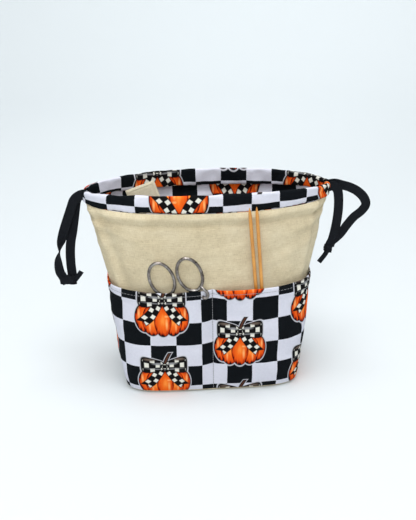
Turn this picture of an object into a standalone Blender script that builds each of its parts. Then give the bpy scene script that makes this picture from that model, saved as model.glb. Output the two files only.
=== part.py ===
"""Drawstring knitting bag with outside pockets, its two drawstrings and the tools it carries.

The bag stands on z = 0 with its origin at the middle of the base. The front faces -Y and the
wide way of the mouth runs along X. Every length is in metres and every angle in degrees.

A place on the wall is a station and a height. Stations run from -2 at the left side seam to 2
at the right one, and the fold lines of the mouth lie at -1 and 1.
"""
import math
from functools import lru_cache

import bmesh
import bpy
import numpy as np
from mathutils import Matrix, Vector

# Driving dimensions: the canvas wall
BASE_HALF_X, BASE_HALF_Y = 0.0860, 0.0480
POCKET_TOP = 0.1120
POCKET_HALF_X, POCKET_HALF_Y = 0.0983, 0.0503
WALL_TOP = 0.1850
WALL_HALF_X, WALL_HALF_Y = 0.1153, 0.0458
SQUARENESS = (5.0, 2.8, 2.1)
FOLD_X = 0.05825

# Cloth layers, as offsets out from the wall's outer face
CANVAS = (0.0, -0.0010)
LINING = (-0.0014, -0.0022)
LINING_BOTTOM = 0.0034
BAND_GAP, BAND_THICKNESS = 0.0005, 0.0008
BAND_FULLNESS = 0.0060
BAND_BOTTOM = 0.0025
CLEARANCE = 0.0004

# Casing round the mouth
CASING_HALF_X, CASING_HALF_Y = 0.1158, 0.0436
CASING_Z = 0.1930
CASING_HALF_HEIGHT = 0.00825
CASING_HALF_THICKNESS = 0.0026
CASING_WALL = 0.0006
CASING_ROUND, CASING_SIDES = 0.35, 8
CASING_END_DROP, CASING_END_TAPER = 0.0009, 0.0026
CASING_END_STATION = 1.942

# Mouth panels
FOLD_BOTTOM = 0.1133
CANVAS_PANEL_BOTTOM, LINING_PANEL_BOTTOM = 0.1154, 0.1176
SEAM_STATION = 1.996
PANEL_STATION, WING_STATION = 0.996, 1.004

# Drawstring tape: 9 mm wide where it hangs free, drawn in to 7 mm inside the casing
LOOP_WIDTH, TAPE_WIDTH, TAPE_THICKNESS = 0.0092, 0.0070, 0.0009
TAPE_OFFSET, TAPE_LIFT = 0.0008, 0.0037
TAPE_STEP = 0.0032

# Scissors, in a frame with its origin on the pivot and +Y up the handles
PIVOT = (-0.0268, -0.0519, 0.0827)
SCISSORS_LEAN, SCISSORS_TILT, SCISSORS_TURN = 1.4, -9.0, -3.0
RING_X, RING_Y = 0.0132, 0.0441
RING_HALF_WIDTH, RING_HALF_LENGTH = 0.0110, 0.0171
RING_TILT = 10.0
RING_WIRE = 0.0015
BLADE_LAYER, BLADE_THICKNESS = 0.00075, 0.0012
BLADE_LENGTH = 0.038
SCREW_RADIUS, SCREW_HOLE, SCREW_HEAD = 0.0013, 0.0017, 0.0026

# Needles and needle sleeve
NEEDLE_RADIUS, NEEDLE_LENGTH, NEEDLE_POINT = 0.001625, 0.178, 0.009
NEEDLES = {
    "needle_left": ((0.0494, -0.0499, 0.0136), (0.0346, -0.0517, 0.1910)),
    "needle_right": ((0.0537, -0.0497, 0.0140), (0.0411, -0.0517, 0.1914)),
}
SLEEVE_WIDTH, SLEEVE_LENGTH, SLEEVE_THICKNESS = 0.0290, 0.2008, 0.0024
SLEEVE_TOP_CORNER, SLEEVE_TILT = (-0.0505, 0.0, 0.2040), 19.0


# ---------------------------------------------------------------- small helpers
def clear_scene():
    for obj in list(bpy.data.objects):
        bpy.data.objects.remove(obj, do_unlink=True)


def material(name, color, roughness, metallic=0.0):
    made = bpy.data.materials.get(name)
    if made is None:
        made = bpy.data.materials.new(name)
        made.use_nodes = True
        shader = made.node_tree.nodes["Principled BSDF"]
        shader.inputs["Base Color"].default_value = (*color, 1.0)
        shader.inputs["Roughness"].default_value = roughness
        shader.inputs["Metallic"].default_value = metallic
    return made


def canvas_cloth():
    return material("canvas", (0.76, 0.68, 0.51), 0.9)


def printed_cotton():
    return material("printed_cotton", (0.34, 0.30, 0.33), 0.85)


def tape_cloth():
    return material("tape", (0.012, 0.013, 0.016), 0.8)


def steel():
    return material("steel", (0.55, 0.54, 0.52), 0.28, 1.0)


def bamboo():
    return material("bamboo", (0.62, 0.30, 0.09), 0.4)


def thread():
    return material("thread", (0.42, 0.42, 0.44), 0.7)


def stiffener():
    return material("stiffener", (0.82, 0.82, 0.80), 0.9)


def add_mesh(name, points, faces, made_of, smooth=True):
    """Object with the given closed surface, its faces turned outward."""
    mesh = bpy.data.meshes.new(name)
    mesh.from_pydata([tuple(p) for p in points], [], faces)
    work = bmesh.new()
    work.from_mesh(mesh)
    bmesh.ops.recalc_face_normals(work, faces=work.faces)
    work.to_mesh(mesh)
    work.free()
    if smooth:
        mesh.shade_smooth()
        mesh.set_sharp_from_angle(angle=math.radians(40))
    mesh.materials.append(made_of)
    obj = bpy.data.objects.new(name, mesh)
    bpy.context.scene.collection.objects.link(obj)
    return obj


def smooth(value):
    value = min(max(value, 0.0), 1.0)
    return value * value * (3.0 - 2.0 * value)


# ---------------------------------------------------------------- the wall's form
def section(z):
    """Half width, half depth and squareness of the wall's outer face at height z."""
    heights = (0.0, POCKET_TOP, WALL_TOP)
    half_x = np.interp(z, heights, (BASE_HALF_X, POCKET_HALF_X, WALL_HALF_X))
    half_y = np.interp(z, heights, (BASE_HALF_Y, POCKET_HALF_Y, WALL_HALF_Y))
    return float(half_x), float(half_y), float(np.interp(z, heights, SQUARENESS))


@lru_cache(maxsize=None)
def outline(half_x, half_y, square):
    """Quarter of a rounded section: x, depth and length along it, from the middle to the seam."""
    turn = np.linspace(0.0, math.pi / 2, 400)
    x = half_x * np.sin(turn) ** (2.0 / square)
    depth = half_y * np.cos(turn) ** (2.0 / square)
    run = np.concatenate([[0.0], np.cumsum(np.hypot(np.diff(x), np.diff(depth)))])
    return x, depth, run


def on_section(station, half_x, half_y, square, side):
    """Plan position of a station on a section; side is -1 for the front and 1 for the back."""
    x, depth, run = outline(half_x, half_y, square)
    fold = np.interp(FOLD_X, x, run)
    reach = abs(station)
    if reach <= 1.0:
        along = np.interp(reach * FOLD_X, x, run)
    else:
        along = fold + (reach - 1.0) * (run[-1] - fold)
    place_x = math.copysign(float(np.interp(along, run, x)), station)
    return place_x, side * float(np.interp(along, run, depth))


def end_share(x):
    """How near a place on the casing is to the side seam, from 0 to 1."""
    return (abs(x) / CASING_HALF_X) ** 3


def wall_top(x):
    lift = (CASING_END_TAPER - CASING_END_DROP) * end_share(x)
    return CASING_Z - CASING_HALF_HEIGHT - CLEARANCE + lift


def wall_point(station, z, offset, side):
    half_x, half_y, square = section(z)
    x, y = on_section(station, half_x + offset, half_y + offset, square, side)
    if z > POCKET_TOP:
        share = (z - POCKET_TOP) / (WALL_TOP - POCKET_TOP)
        z = POCKET_TOP + share * (wall_top(x) - POCKET_TOP)
    return Vector((x, y, z))


def cloth_sheet(name, stations, heights, outer, inner, side, made_of, keep=None):
    """Closed sheet between two offsets of the wall, on the grid cells that keep accepts."""
    points, faces, index = [], [], {}

    def corner(i, j, layer):
        key = (i, j, layer)
        if key not in index:
            offset = (outer, inner)[layer](stations[i], heights[j])
            index[key] = len(points)
            points.append(wall_point(stations[i], heights[j], offset, side))
        return index[key]

    cells = set()
    for i in range(len(stations) - 1):
        for j in range(len(heights) - 1):
            middle = (stations[i] + stations[i + 1]) / 2, (heights[j] + heights[j + 1]) / 2
            if keep is None or keep(*middle):
                cells.add((i, j))
    for i, j in sorted(cells):
        around = ((i, j), (i + 1, j), (i + 1, j + 1), (i, j + 1))
        for half in (around[:3], (around[0], around[2], around[3])):
            faces.append([corner(*p, 0) for p in half])
            faces.append([corner(*p, 1) for p in reversed(half)])
        beyond = ((i, j - 1), (i + 1, j), (i, j + 1), (i - 1, j))
        for k, neighbour in enumerate(beyond):
            if neighbour not in cells:
                a, b = around[k], around[(k + 1) % 4]
                faces.append([corner(*b, 0), corner(*a, 0), corner(*a, 1), corner(*b, 1)])
    return add_mesh(name, points, faces, made_of)


def constant(value):
    """The same value everywhere on a sheet or along a run."""
    return lambda *place: value


def both_wings(limit):
    wing = list(np.linspace(WING_STATION, limit, 9))
    return [-s for s in reversed(wing)] + list(np.linspace(-PANEL_STATION, PANEL_STATION, 7)) + wing


def fullness(station, z):
    """How far the pocket band stands off the canvas; it is sewn down at 0, -2 and 2."""
    reach = abs(station)
    across = 1.0 - (1.0 - reach) ** 6 if reach < 1.0 else math.cos((reach - 1.0) * math.pi / 2) ** 2
    up = 1.0 - (1.0 - min(z / POCKET_TOP, 1.0)) ** 5
    return BAND_GAP + BAND_FULLNESS * across * up


# ---------------------------------------------------------------- walls, lining and pockets
def wall_heights(bottom):
    above = [0.0200, 0.0500, 0.0820, FOLD_BOTTOM, 0.1380, 0.1620, WALL_TOP]
    return ([] if bottom == LINING_BOTTOM else [bottom]) + [LINING_BOTTOM] + above


def below_fold_or_wing(station, z):
    return z < FOLD_BOTTOM or abs(station) > 1.0


def make_walls():
    layers = (("canvas", CANVAS, 0.0, canvas_cloth()),
              ("lining", LINING, LINING_BOTTOM, printed_cotton()))
    for side, face in ((-1, "front"), (1, "back")):
        for cloth, (outer, inner), bottom, made_of in layers:
            cloth_sheet(f"{cloth}_{face}", both_wings(SEAM_STATION), wall_heights(bottom),
                        constant(outer), constant(inner), side, made_of, below_fold_or_wing)


def make_mouth_panels():
    layers = (("canvas", CANVAS, CANVAS_PANEL_BOTTOM, canvas_cloth()),
              ("lining", LINING, LINING_PANEL_BOTTOM, printed_cotton()))
    stations = list(np.linspace(-PANEL_STATION, PANEL_STATION, 7))
    for side, face in ((-1, "front"), (1, "back")):
        for cloth, (outer, inner), bottom, made_of in layers:
            heights = [bottom, 0.138, 0.162, WALL_TOP]
            cloth_sheet(f"mouth_{cloth}_{face}", stations, heights, constant(outer),
                        constant(inner), side, made_of)


def make_pocket_bands():
    stations = both_wings(SEAM_STATION)
    heights = [BAND_BOTTOM, 0.010, 0.020, 0.036, 0.060, 0.086, POCKET_TOP]
    for side, face in ((-1, "front"), (1, "back")):
        cloth_sheet(f"pocket_band_{face}", stations, heights,
                    lambda s, z: fullness(s, z) + BAND_THICKNESS, fullness, side,
                    printed_cotton())


def make_divider_stitches():
    """Line of stitching that splits each band into two pockets."""
    foot = BAND_GAP + BAND_THICKNESS + 0.0003
    heights = [BAND_BOTTOM + 0.001, 0.040, 0.075, POCKET_TOP - 0.001]
    for side, face in ((-1, "front"), (1, "back")):
        cloth_sheet(f"divider_stitch_{face}", [-0.006, 0.006], heights, constant(foot + 0.0005),
                    constant(foot), side, thread())


def make_plate(name, offset, low, high, made_of):
    """Flat plate of the base's outline."""
    loop = []
    for side in (-1, 1):
        run = [wall_point(s, 0.0, offset, side) for s in both_wings(2.0)]
        loop += run[:-1] if side == -1 else run[:0:-1]
    count = len(loop)
    points = [Vector((p.x, p.y, z)) for z in (low, high) for p in loop]
    faces = [list(range(count)), list(range(count, 2 * count))]
    for k in range(count):
        after = (k + 1) % count
        faces.append([k, after, count + after, count + k])
    return add_mesh(name, points, faces, made_of, smooth=False)


def make_base():
    make_plate("base_panel", -0.0014, 0.0, 0.0010, canvas_cloth())
    make_plate("base_board", -0.0020, 0.0014, 0.0030, stiffener())
    make_plate("lining_base", -0.0026, LINING_BOTTOM, LINING_BOTTOM + 0.0008, printed_cotton())


# ---------------------------------------------------------------- casing
def casing_place(station, side, across, up):
    """Point in the casing's section: across its thickness, and up its height."""
    x, y = on_section(station, CASING_HALF_X + across, CASING_HALF_Y + across, 2.0, side)
    return Vector((x, y, CASING_Z - CASING_END_DROP * end_share(x) + up))


def casing_loop(station, side, wall):
    """Rounded outline of the casing's section, shrunk by wall."""
    x, _ = on_section(station, CASING_HALF_X, CASING_HALF_Y, 2.0, side)
    half_height = CASING_HALF_HEIGHT - CASING_END_TAPER * end_share(x) - wall
    half_thickness = CASING_HALF_THICKNESS - wall
    loop = []
    for k in range(CASING_SIDES):
        turn = math.tau * (k + 0.5) / CASING_SIDES
        across = math.copysign(abs(math.cos(turn)) ** CASING_ROUND, math.cos(turn)) * half_thickness
        up = math.copysign(abs(math.sin(turn)) ** CASING_ROUND, math.sin(turn)) * half_height
        loop.append(casing_place(station, side, across, up))
    return loop


def make_casing_part(name, stations, side):
    """Open-ended tube of cloth along the rim."""
    points, faces = [], []
    for station in stations:
        points += casing_loop(station, side, 0.0)
        points += casing_loop(station, side, CASING_WALL)
    around = CASING_SIDES
    for i in range(len(stations) - 1):
        here, there = 2 * around * i, 2 * around * (i + 1)
        for k in range(around):
            after = (k + 1) % around
            faces.append([here + k, here + after, there + after, there + k])
            faces.append([here + around + after, here + around + k,
                          there + around + k, there + around + after])
    for start in (0, 2 * around * (len(stations) - 1)):
        for k in range(around):
            after = (k + 1) % around
            ring = [start + k, start + after, start + around + after, start + around + k]
            faces.append(ring if start else ring[::-1])
    return add_mesh(name, points, faces, printed_cotton())


def casing_wing():
    return list(np.linspace(WING_STATION, CASING_END_STATION, 8))


def casing_middle():
    return [-PANEL_STATION, -0.9, -0.7, -0.5, -0.25, 0.0, 0.25, 0.5, 0.7, 0.9, PANEL_STATION]


def make_casings():
    wing, middle = casing_wing(), casing_middle()
    for side, face in ((-1, "front"), (1, "back")):
        make_casing_part(f"casing_{face}_left", [-s for s in reversed(wing)], side)
        make_casing_part(f"mouth_casing_{face}", middle, side)
        make_casing_part(f"casing_{face}_right", wing, side)


# ---------------------------------------------------------------- drawstrings
def ribbon(name, places, widths, width=TAPE_WIDTH, thickness=TAPE_THICKNESS, made_of=None):
    """Flat tape along places; widths says which way the tape's width points at each."""
    points, faces = [], []
    last = len(places) - 1
    for i, place in enumerate(places):
        along = (places[min(i + 1, last)] - places[max(i - 1, 0)]).normalized()
        across = (widths[i] - along * widths[i].dot(along)).normalized()
        face = along.cross(across)
        for a, b in ((1, 1), (-1, 1), (-1, -1), (1, -1)):
            points.append(place + across * a * width / 2 + face * b * thickness / 2)
    for i in range(last):
        for k in range(4):
            after = (k + 1) % 4
            faces.append([4 * i + k, 4 * i + after, 4 * i + 4 + after, 4 * i + 4 + k])
    faces.append([3, 2, 1, 0])
    faces.append([4 * last + k for k in range(4)])
    return add_mesh(name, points, faces, made_of or tape_cloth())


def smooth_route(route):
    """Evenly spaced places and widths on one smooth curve through the route's points."""
    spots = [np.array(entry[0] + entry[1], float) for entry in route]
    spots = [2 * spots[0] - spots[1]] + spots + [2 * spots[-1] - spots[-2]]
    fine = []
    for p0, p1, p2, p3 in zip(spots, spots[1:], spots[2:], spots[3:]):
        for t in np.linspace(0.0, 1.0, 24, endpoint=False):
            fine.append(0.5 * (2 * p1 + (p2 - p0) * t + (2 * p0 - 5 * p1 + 4 * p2 - p3) * t ** 2
                               + (3 * p1 - p0 - 3 * p2 + p3) * t ** 3))
    fine = np.array(fine + [spots[-2]])
    run = np.concatenate([[0.0], np.cumsum(np.linalg.norm(np.diff(fine[:, :3], axis=0), axis=1))])
    even = np.linspace(0.0, run[-1], max(4, round(run[-1] / TAPE_STEP)) + 1)
    columns = [np.interp(even, run, fine[:, k]) for k in range(6)]
    places = [Vector(p) for p in zip(*columns[:3])]
    return places, [Vector(w) for w in zip(*columns[3:])]


UP, LEFT, RIGHT = (0.0, 0.0, 1.0), (-1.0, 0.0, 0.0), (1.0, 0.0, 0.0)
ROUTES = {
    "left_strand_front": (
        ((-0.1166, -0.0034, 0.1922), UP), ((-0.1187, -0.0026, 0.1923), UP),
        ((-0.1227, -0.0022, 0.1916), UP), ((-0.1268, -0.0022, 0.1876), (-0.7, 0.0, 0.7)),
        ((-0.1298, -0.0022, 0.1805), LEFT), ((-0.1340, -0.0022, 0.1700), LEFT),
        ((-0.1386, -0.0022, 0.1580), LEFT), ((-0.1422, -0.0020, 0.1470), (-0.9, -0.5, 0.0)),
        ((-0.1446, -0.0018, 0.1360), (0.0, -1.0, 0.0)), ((-0.1470, -0.0018, 0.1245), (0.9, -0.5, 0.0)),
        ((-0.1466, -0.0018, 0.1150), RIGHT), ((-0.1448, -0.0018, 0.1104), RIGHT)),
    "left_strand_back": (
        ((-0.1166, 0.0034, 0.1918), UP), ((-0.1187, 0.0026, 0.1919), UP),
        ((-0.1223, 0.0022, 0.1906), UP), ((-0.1252, 0.0022, 0.1855), (-0.8, 0.0, 0.6)),
        ((-0.1269, 0.0022, 0.1770), LEFT), ((-0.1290, 0.0022, 0.1660), LEFT),
        ((-0.1312, 0.0022, 0.1550), LEFT), ((-0.1336, 0.0022, 0.1450), LEFT),
        ((-0.1352, 0.0022, 0.1330), LEFT), ((-0.1356, 0.0020, 0.1210), LEFT),
        ((-0.1352, 0.0018, 0.1098), LEFT)),
    "right_strand_front": (
        ((0.1166, -0.0034, 0.1920), UP), ((0.1187, -0.0026, 0.1925), UP),
        ((0.1222, -0.0022, 0.1925), UP), ((0.1258, -0.0022, 0.1886), (0.7, 0.0, 0.7)),
        ((0.1273, -0.0022, 0.1810), RIGHT), ((0.1277, -0.0022, 0.1700), RIGHT),
        ((0.1269, -0.0022, 0.1580), RIGHT), ((0.1253, -0.0020, 0.1470), RIGHT),
        ((0.1236, -0.0016, 0.1380), RIGHT), ((0.1220, -0.0014, 0.1335), RIGHT)),
    "right_strand_back": (
        ((0.1166, 0.0034, 0.1924), UP), ((0.1187, 0.0026, 0.1934), UP),
        ((0.1240, 0.0022, 0.1940), UP), ((0.1310, 0.0022, 0.1920), UP),
        ((0.1390, 0.0022, 0.1894), UP), ((0.1468, 0.0022, 0.1850), (0.5, 0.0, 0.86)),
        ((0.1532, 0.0022, 0.1786), (0.7, 0.0, 0.7)), ((0.1558, 0.0022, 0.1712), RIGHT),
        ((0.1518, 0.0022, 0.1646), (0.7, 0.0, -0.7)), ((0.1445, 0.0022, 0.1584), (0.7, 0.0, -0.7)),
        ((0.1382, 0.0022, 0.1504), (0.8, 0.0, -0.6)), ((0.1324, 0.0020, 0.1420), (0.8, 0.0, -0.6)),
        ((0.1268, 0.0016, 0.1366), (0.8, 0.0, -0.6)), ((0.1232, 0.0015, 0.1336), (1.0, 0.0, -0.1))),
    "left_tail": (
        ((-0.1302, -0.0008, 0.1074), (0.6, 0.0, -0.8)), ((-0.1280, -0.0010, 0.1102), (0.6, 0.0, -0.8)),
        ((-0.1256, -0.0012, 0.1136), (0.6, 0.0, -0.8))),
    "right_tail": (
        ((0.1168, -0.0008, 0.1208), (-0.8, 0.0, 0.6)), ((0.1142, -0.0010, 0.1172), (-0.8, 0.0, 0.6)),
        ((0.1110, -0.0012, 0.1130), (-0.8, 0.0, 0.6))),
}
TAIL_WIDTH = 0.0050
KNOTS = {
    "left_knot": ((-0.1395, 0.0, 0.1046), (0.0082, 0.0036, 0.0044)),
    "right_knot": ((0.1199, 0.0, 0.1274), (0.0044, 0.0040, 0.0048)),
}
KNOT_ROUNDING = 0.0018


def make_strands():
    for name, route in ROUTES.items():
        places, widths = smooth_route(route)
        ribbon(name, places, widths, TAIL_WIDTH if "tail" in name else LOOP_WIDTH)


def make_knots():
    for name, (centre, half) in KNOTS.items():
        work = bmesh.new()
        bmesh.ops.create_cube(work, size=2.0)
        bmesh.ops.scale(work, vec=half, verts=work.verts)
        bmesh.ops.bevel(work, geom=work.edges[:], offset=KNOT_ROUNDING, segments=3, profile=0.5,
                        affect='EDGES')
        bmesh.ops.translate(work, vec=centre, verts=work.verts)
        mesh = bpy.data.meshes.new(name)
        work.to_mesh(mesh)
        work.free()
        mesh.shade_smooth()
        mesh.materials.append(tape_cloth())
        bpy.context.scene.collection.objects.link(bpy.data.objects.new(name, mesh))


def casing_run(name, stations, sides, offset, lift):
    """Tape inside the casing; offset is across the casing and lift is up it."""
    places = [casing_place(s, side, offset(s), lift(s)) for s, side in zip(stations, sides)]
    return ribbon(name, places, [Vector(UP)] * len(places))


def make_string_in_casing(owner, outlet):
    """One drawstring's hidden stretches; outlet is -1 for the string that leaves on the left.

    Near its outlet the tape lies on the casing's outer side and at the far seam on its inner
    side, so the two strings swap places over the middle, where one runs above the other.
    """
    near = [outlet * s for s in casing_wing()]
    far = [-outlet * s for s in casing_wing() + [1.972, 2.0]]
    middle = casing_middle()
    for side, face in ((-1, "front"), (1, "back")):
        casing_run(f"{owner}_string_near_{face}", near, [side] * len(near),
                   constant(TAPE_OFFSET), constant(0.0))
        casing_run(f"mouth_{owner}_string_{face}", middle, [side] * len(middle),
                   lambda s: TAPE_OFFSET * (2.0 * smooth((outlet * s + 0.3) / 0.6) - 1.0),
                   lambda s: -outlet * TAPE_LIFT * smooth((0.9 - abs(s)) / 0.35))
    bend = far + far[-2::-1]
    sides = [-1] * len(far) + [1] * (len(far) - 1)
    casing_run(f"{owner}_string_bend", bend, sides, constant(-TAPE_OFFSET), constant(0.0))


# ---------------------------------------------------------------- scissors
def scissors_frame():
    frame = bpy.data.objects.new("scissors_frame", None)
    frame.location = PIVOT
    turns = (90.0 + SCISSORS_LEAN, SCISSORS_TILT, SCISSORS_TURN)
    frame.rotation_euler = [math.radians(turn) for turn in turns]
    bpy.context.scene.collection.objects.link(frame)
    return frame


def ring_point(hand, turn, grow=0.0):
    """Point on the finger ring's centre line; hand is -1 for the left ring."""
    tilt = math.radians(RING_TILT)
    a = (RING_HALF_WIDTH + grow) * math.cos(turn)
    b = (RING_HALF_LENGTH + grow) * math.sin(turn)
    x = hand * RING_X + a * math.cos(tilt) - b * math.sin(tilt)
    return Vector((x, RING_Y + a * math.sin(tilt) + b * math.cos(tilt), 0.0))


def tube(places, half_across, half_thick, closed=False, around=8):
    """Points and faces of a tube in the scissors' plane with an oval section."""
    points, faces = [], []
    count = len(places)
    for i, place in enumerate(places):
        before = places[i - 1] if closed or i else places[0]
        beyond = places[(i + 1) % count] if closed or i < count - 1 else places[-1]
        along = (beyond - before).normalized()
        across = Vector((along.y, -along.x, 0.0)).normalized()
        face = along.cross(across)
        for k in range(around):
            turn = math.tau * (k + 0.5) / around
            points.append(place + across * math.cos(turn) * half_across[i]
                          + face * math.sin(turn) * half_thick[i])
    for i in range(count if closed else count - 1):
        there = (i + 1) % count
        for k in range(around):
            after = (k + 1) % around
            faces.append([around * i + k, around * i + after,
                          around * there + after, around * there + k])
    if not closed:
        faces.append(list(range(around))[::-1])
        faces.append([around * (count - 1) + k for k in range(around)])
    return points, faces


def add_tool(name, frame, shape, made_of, helper=False):
    obj = add_mesh(name, shape[0], shape[1], made_of)
    obj.parent = frame
    if helper:
        obj.hide_render = True
        obj.display_type = 'WIRE'
    return obj


def combine(obj, other, operation):
    step = obj.modifiers.new(operation.lower(), 'BOOLEAN')
    step.operation = operation
    step.solver = 'EXACT'
    step.object = other


def make_scissors_half(name, hand, frame):
    """Finger ring, shank and blade; the right half also has the hooked finger rest."""
    layer = BLADE_LAYER * hand
    start = ring_point(hand, math.radians(-115.0 if hand > 0 else -65.0))
    x = start.x
    path = [start, Vector((x * 0.72, 0.0215, 0.3 * layer)), Vector((x * 0.46, 0.0140, layer)),
            Vector((x * 0.22, 0.0070, layer)), Vector((0.0, 0.0, layer)),
            Vector((-0.0004 * hand, -0.0060, layer)), Vector((-0.0006 * hand, -0.0200, layer)),
            Vector((-0.0004 * hand, -BLADE_LENGTH, layer))]
    wide = [0.0014, 0.0017, 0.0021, 0.0029, 0.0034, 0.0030, 0.0021, 0.0004]
    thick = BLADE_THICKNESS / 2 / math.cos(math.pi / 8)
    deep = [0.0013, 0.0009, thick, thick, thick, thick, thick, 0.0003]
    body = add_tool(name, frame, tube(path, wide, deep), steel())
    ring = [ring_point(hand, math.tau * k / 28) for k in range(28)]
    wire = [RING_WIRE / math.cos(math.pi / 8)] * len(ring)
    combine(body, add_tool(f"{name}_ring", frame, tube(ring, wire, wire, closed=True), steel(),
                           helper=True), 'UNION')
    if hand > 0:
        combine(body, finger_rest(f"{name}_rest", frame), 'UNION')
    combine(body, screw_cutter(f"{name}_hole", frame), 'DIFFERENCE')


def finger_rest(name, frame):
    """Hook from the foot of the right ring, over the pocket's edge and down outside it."""
    root = ring_point(1, math.radians(-62.0))
    steps = ((0.0, 0.0, 0.0), (0.0010, -0.0002, 0.0014), (0.0018, -0.0012, 0.0026),
             (0.0028, -0.0042, 0.0030), (0.0030, -0.0090, 0.0030), (0.0014, -0.0134, 0.0027))
    path = [root + Vector(step) for step in steps]
    points, faces = [], []
    radius = (0.0012, 0.0012, 0.0012, 0.0012, 0.0011, 0.0008)
    for i, place in enumerate(path):
        along = (path[min(i + 1, 5)] - path[max(i - 1, 0)]).normalized()
        across = along.cross(Vector((1.0, 0.0, 0.0))).normalized()
        other = along.cross(across)
        for k in range(8):
            turn = math.tau * k / 8
            points.append(place + (across * math.cos(turn) + other * math.sin(turn)) * radius[i])
    for i in range(5):
        for k in range(8):
            after = (k + 1) % 8
            faces.append([8 * i + k, 8 * i + after, 8 * i + 8 + after, 8 * i + 8 + k])
    faces.append(list(range(8))[::-1])
    faces.append([40 + k for k in range(8)])
    return add_tool(name, frame, (points, faces), steel(), helper=True)


def turned(profile, around=16):
    """Solid of revolution about Z from (radius, height) pairs, closed by flat or pointed ends."""
    points, faces = [], []
    for radius, height in profile:
        for k in range(around):
            turn = math.tau * k / around
            points.append(Vector((radius * math.cos(turn), radius * math.sin(turn), height)))
    for i in range(len(profile) - 1):
        for k in range(around):
            after = (k + 1) % around
            faces.append([around * i + k, around * i + after,
                          around * (i + 1) + after, around * (i + 1) + k])
    faces.append(list(range(around))[::-1])
    faces.append([around * (len(profile) - 1) + k for k in range(around)])
    return points, faces


def screw_cutter(name, frame):
    return add_tool(name, frame, turned([(SCREW_HOLE, -0.004), (SCREW_HOLE, 0.004)]), steel(),
                    helper=True)


def make_scissors():
    frame = scissors_frame()
    make_scissors_half("scissors_half_right", 1, frame)
    make_scissors_half("scissors_half_left", -1, frame)
    face = BLADE_LAYER + BLADE_THICKNESS / 2 + 0.0003
    head = 0.0006
    add_tool("scissors_pivot", frame, turned([
        (SCREW_HEAD - 0.0004, -face - head), (SCREW_HEAD, -face - head / 2), (SCREW_HEAD, -face),
        (SCREW_RADIUS, -face), (SCREW_RADIUS, face), (SCREW_HEAD, face),
        (SCREW_HEAD, face + head / 2), (SCREW_HEAD - 0.0004, face + head)]), steel())


# ---------------------------------------------------------------- needles and sleeve
def make_needles():
    tip = 0.0003
    profile = [(tip, 0.0), (NEEDLE_RADIUS * 0.8, NEEDLE_POINT * 0.6), (NEEDLE_RADIUS, NEEDLE_POINT),
               (NEEDLE_RADIUS, NEEDLE_LENGTH - NEEDLE_POINT),
               (NEEDLE_RADIUS * 0.8, NEEDLE_LENGTH - NEEDLE_POINT * 0.6), (tip, NEEDLE_LENGTH)]
    for name, (foot, top) in NEEDLES.items():
        points, faces = turned(profile, around=12)
        needle = add_mesh(name, points, faces, bamboo())
        along = (Vector(top) - Vector(foot)).normalized()
        needle.location = foot
        needle.rotation_mode = 'QUATERNION'
        needle.rotation_quaternion = Vector(UP).rotation_difference(along)


def make_needle_sleeve():
    """Flat folded strip of canvas that stands tilted inside the bag."""
    half = SLEEVE_THICKNESS / 2
    outline_xz = [(0.0, 0.0), (0.0, -SLEEVE_LENGTH), (-SLEEVE_WIDTH, -SLEEVE_LENGTH),
                  (-SLEEVE_WIDTH, 0.0)]
    points = [Vector((x, y, z)) for y in (-half, half) for x, z in outline_xz]
    faces = [[0, 1, 2, 3], [7, 6, 5, 4], [0, 4, 5, 1], [1, 5, 6, 2], [2, 6, 7, 3], [3, 7, 4, 0]]
    sleeve = add_mesh("needle_sleeve", points, faces, canvas_cloth(), smooth=False)
    edge = sleeve.modifiers.new("soft_edge", 'BEVEL')
    edge.width = 0.0005
    edge.segments = 2
    sleeve.matrix_world = (Matrix.Translation(SLEEVE_TOP_CORNER)
                           @ Matrix.Rotation(math.radians(-SLEEVE_TILT), 4, 'Y'))


def main():
    clear_scene()
    make_base()
    make_walls()
    make_mouth_panels()
    make_pocket_bands()
    make_divider_stitches()
    make_casings()
    make_strands()
    make_knots()
    make_string_in_casing("left", -1)
    make_string_in_casing("right", 1)
    make_scissors()
    make_needles()
    make_needle_sleeve()


main()
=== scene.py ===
"""Detailed visual model of the drawstring knitting bag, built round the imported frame.

Lengths are in metres, in the part's own frame: z = 0 is the ground, -Y is the bag's front. A place
on the wall is a station, from -2 at the left side seam to 2 at the right one, and a height.
"""

from math import copysign, cos, pi, radians, sin, sqrt, tau

import bmesh
import bpy
import numpy as np
from mathutils import Matrix, Vector


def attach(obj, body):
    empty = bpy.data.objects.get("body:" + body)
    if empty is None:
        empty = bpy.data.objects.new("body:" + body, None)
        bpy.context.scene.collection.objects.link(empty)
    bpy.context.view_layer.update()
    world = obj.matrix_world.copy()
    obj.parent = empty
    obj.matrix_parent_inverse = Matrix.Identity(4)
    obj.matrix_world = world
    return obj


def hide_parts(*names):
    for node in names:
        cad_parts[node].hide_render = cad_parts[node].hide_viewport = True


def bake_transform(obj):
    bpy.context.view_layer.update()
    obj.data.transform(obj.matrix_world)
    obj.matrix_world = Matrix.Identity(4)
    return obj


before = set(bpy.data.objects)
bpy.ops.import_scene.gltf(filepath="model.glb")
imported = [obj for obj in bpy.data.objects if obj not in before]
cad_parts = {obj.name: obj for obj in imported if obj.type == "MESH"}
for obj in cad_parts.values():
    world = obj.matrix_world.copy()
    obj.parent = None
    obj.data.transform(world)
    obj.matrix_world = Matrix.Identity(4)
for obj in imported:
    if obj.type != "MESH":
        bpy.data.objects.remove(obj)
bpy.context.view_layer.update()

# The wall's form, as in the solids
POCKET_TOP, WALL_TOP = 0.1120, 0.1850
SECTION_HEIGHTS = (0.0, POCKET_TOP, WALL_TOP)
SECTION_HALF_X = (0.0860, 0.0983, 0.1153)
SECTION_HALF_Y = (0.0480, 0.0503, 0.0458)
SECTION_SQUARENESS = (5.0, 2.8, 2.1)
FOLD_X = 0.05825
CANVAS_THICKNESS = 0.0008
LINING_OUTER, LINING_INNER = -0.0014, -0.0021
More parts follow.
